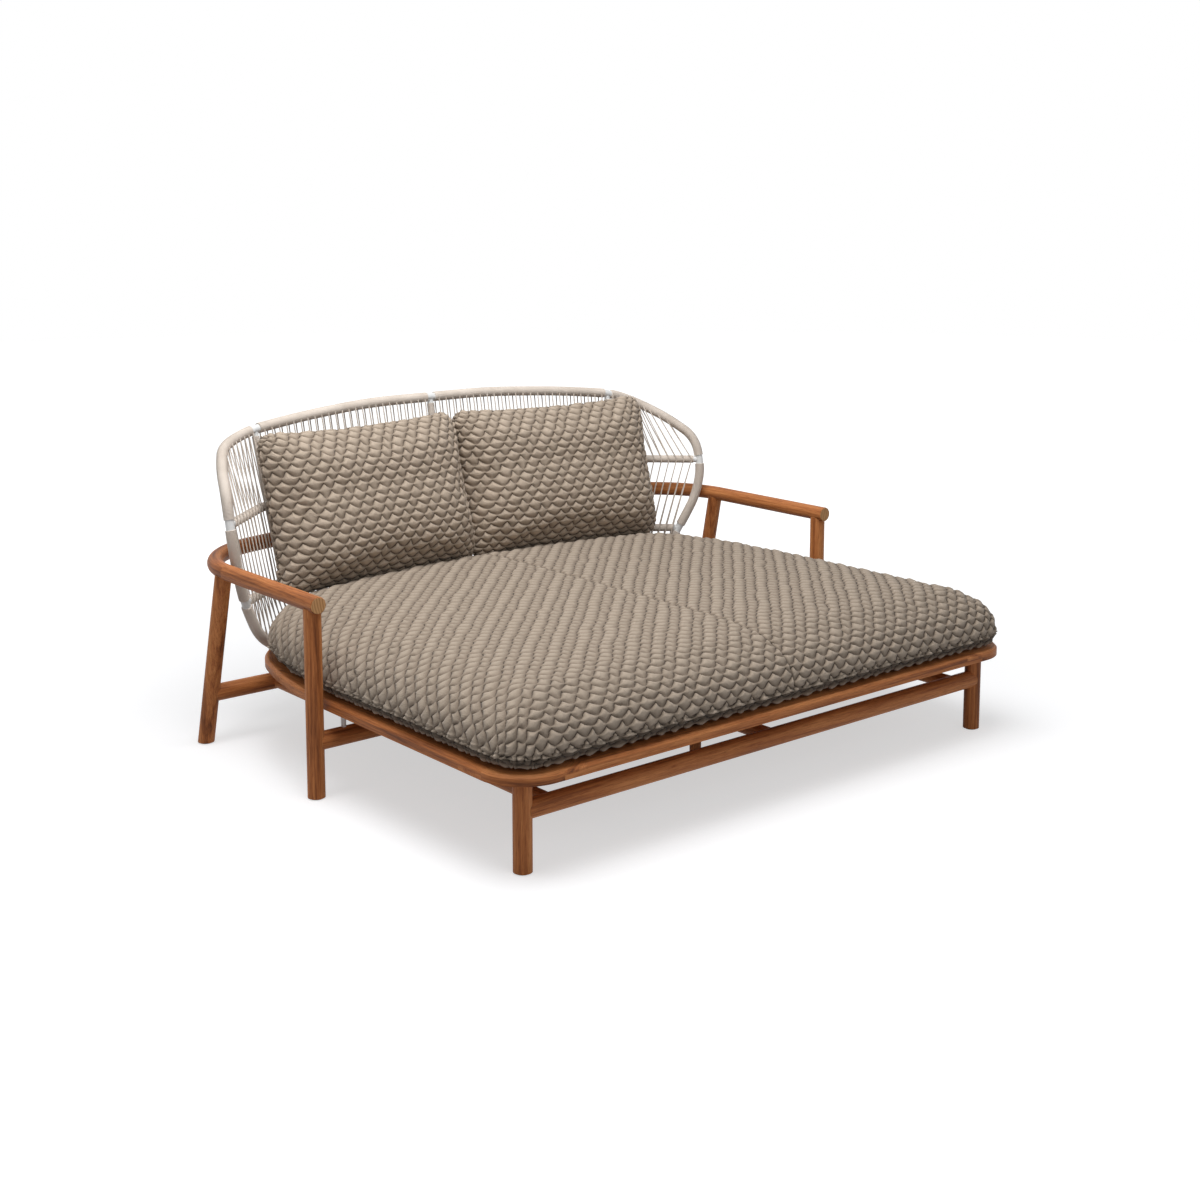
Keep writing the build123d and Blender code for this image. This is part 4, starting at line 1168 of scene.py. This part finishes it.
def make_mattress():
    piece = soft_copy("mattress", mattress_square)
    held = coordinates(piece)[:, 2] < side_seam_z
    swell(piece, shrink=0.006, cap=0.010, pressure=3.0, held=held)
    refine(piece, 2)
    split_above(piece, mattress_low.z + flat_foot)
    places, normals = coordinates(piece), point_normals(piece)
    heights, extra = extra_length(mattress_profile)
    longer = np.interp(places[:, 2], heights, extra)[:, None]
    cloth = places + outward_push(normals, np.array([0.0, 0.0, 1.0])) * longer
    cloth[places[:, 0] > 0, 1] += scale_period / 2
    cloth[:, 2] = 0.0
    over_seam = places[:, 2] - side_seam_z
    sunk = groove(places[:, 0], **middle_seam) * (over_seam > 0) + tucked_depth(over_seam, normals)
    cover(piece, "mattress", cloth, sunk, over_seam, mattress_relief, mattress_taupe)


make_mattress()

# %% [markdown]
# Each back cushion is a knife-edge pad: two sheets that are sewn together all
# round. It leans back and turns a little towards the middle. Its scales stand
# upright on it, so its places on the cloth are read in its own leaning frame.

# %% The back cushions
cushion_square, cushion_relief = 0.011, 0.0078
cushion_seam = {"half_width": 0.004, "depth": 0.004}
cushion_lean, cushion_turn = math.radians(8.0), math.radians(5.4)
cushion_front, cushion_behind = 0.098, 0.062
cushion_half_width, cushion_half_height = 0.374, 0.242
# The cloth's slant on the cushions, and where on the endless cloth they are cut
cushion_shear = 0.14
cut_from_x, cut_from_y = 0.9, 0.4
foot_lean = 0.045
foot_belly, foot_belly_height, foot_belly_reach = 0.020, 0.42, 0.62
side_fill, foot_sink, foot_sink_middle = 0.009, 0.007, 0.008
# The pad's rounding: how far in from its edge, and what share of its full
# thickness it has there in front and behind
rounding_insets = 0.195 * np.array([0.0, 0.05, 0.19, 0.42, 0.7, 1.0])
front_shares = np.array([0.0, 0.34, 0.62, 0.84, 0.96, 1.0])
behind_shares = np.array([0.0, 0.40, 0.66, 0.85, 0.95, 1.0])


def cushion_axes(sign):
    """Along the cushion, up it, and out of its front."""
    turn = -sign * cushion_turn
    side = np.array([math.cos(turn), math.sin(turn), 0.0])
    front = np.array([math.sin(turn), -math.cos(turn), 0.0])
    up = -front * math.sin(cushion_lean) + np.array([0.0, 0.0, math.cos(cushion_lean)])
    out = front * math.cos(cushion_lean) + np.array([0.0, 0.0, math.sin(cushion_lean)])
    return side, up, out


def middle_of(values):
    return (values.min() + values.max()) / 2


def fill_outline(local):
    """Stretch a pad to its full width and height, and let its foot sink flat."""
    local = local.copy()
    for axis, half in ((0, cushion_half_width), (1, cushion_half_height)):
        local[:, axis] *= half / np.abs(local[:, axis]).max()
    across, rise = local[:, 0] / cushion_half_width, local[:, 1] / cushion_half_height
    local[:, 0] += across * np.abs(across) * side_fill * (1 - rise ** 2)
    sink = foot_sink + foot_sink_middle * (1 - across ** 2)
    local[:, 1] -= np.clip(-rise, 0.0, 1.0) ** 2 * sink
    return local


def slumped(local):
    """Lean a pad's foot forward, and let its stuffing settle in its lower half."""
    rise = local[:, 1] / cushion_half_height
    ahead = np.clip(local[:, 2] / cushion_front, 0.0, 1.0)
    belly = np.clip(1 - ((rise + foot_belly_height) / foot_belly_reach) ** 2, 0.0, 1.0)
    forward = foot_lean * (1 - rise) / 2 + foot_belly * ahead * belly
    return local + np.outer(forward, np.array([0.0, 0.0, 1.0]))


def cloth_places(local, facing, sign):
    """Places on a cushion's cloth: its own plane, longer where it curves to its edge."""
    longer = np.zeros(len(local))
    for full, shares, chosen in ((cushion_front, front_shares, local[:, 2] >= 0),
                                 (cushion_behind, behind_shares, local[:, 2] < 0)):
        heights, extra = extra_length(list(zip(rounding_insets, full * shares)))
        longer[chosen] = np.interp(np.abs(local[chosen, 2]), heights, extra)
    cloth = local + outward_push(facing, np.array([0.0, 0.0, 1.0])) * longer[:, None]
    cloth[:, 0] += cushion_shear * cloth[:, 1]
    cloth[:, 2] = 0.0
    return cloth + np.array([cut_from_x * sign, cut_from_y, 0.0])


def make_cushion(node, sign):
    piece = soft_copy(node, cushion_square)
    axes = np.stack(cushion_axes(sign))
    started = coordinates(piece) @ axes.T
    centre = np.array([middle_of(started[:, 0]), middle_of(started[:, 1]),
                       started[:, 2].max() - cushion_front])
    swell(piece, shrink=0.008, cap=0.014, pressure=4.0)
    refine(piece, 2)
    local = fill_outline(coordinates(piece) @ axes.T - centre)
    facing = point_normals(piece) @ axes.T
    put(piece, (slumped(local) + centre) @ axes)
    edge = np.abs(local[:, 2])
    cover(piece, node, cloth_places(local, facing, sign), groove(edge, **cushion_seam), edge,
          cushion_relief, cushion_taupe)


make_cushion("back_cushion_left", -1)
make_cushion("back_cushion_right", 1)
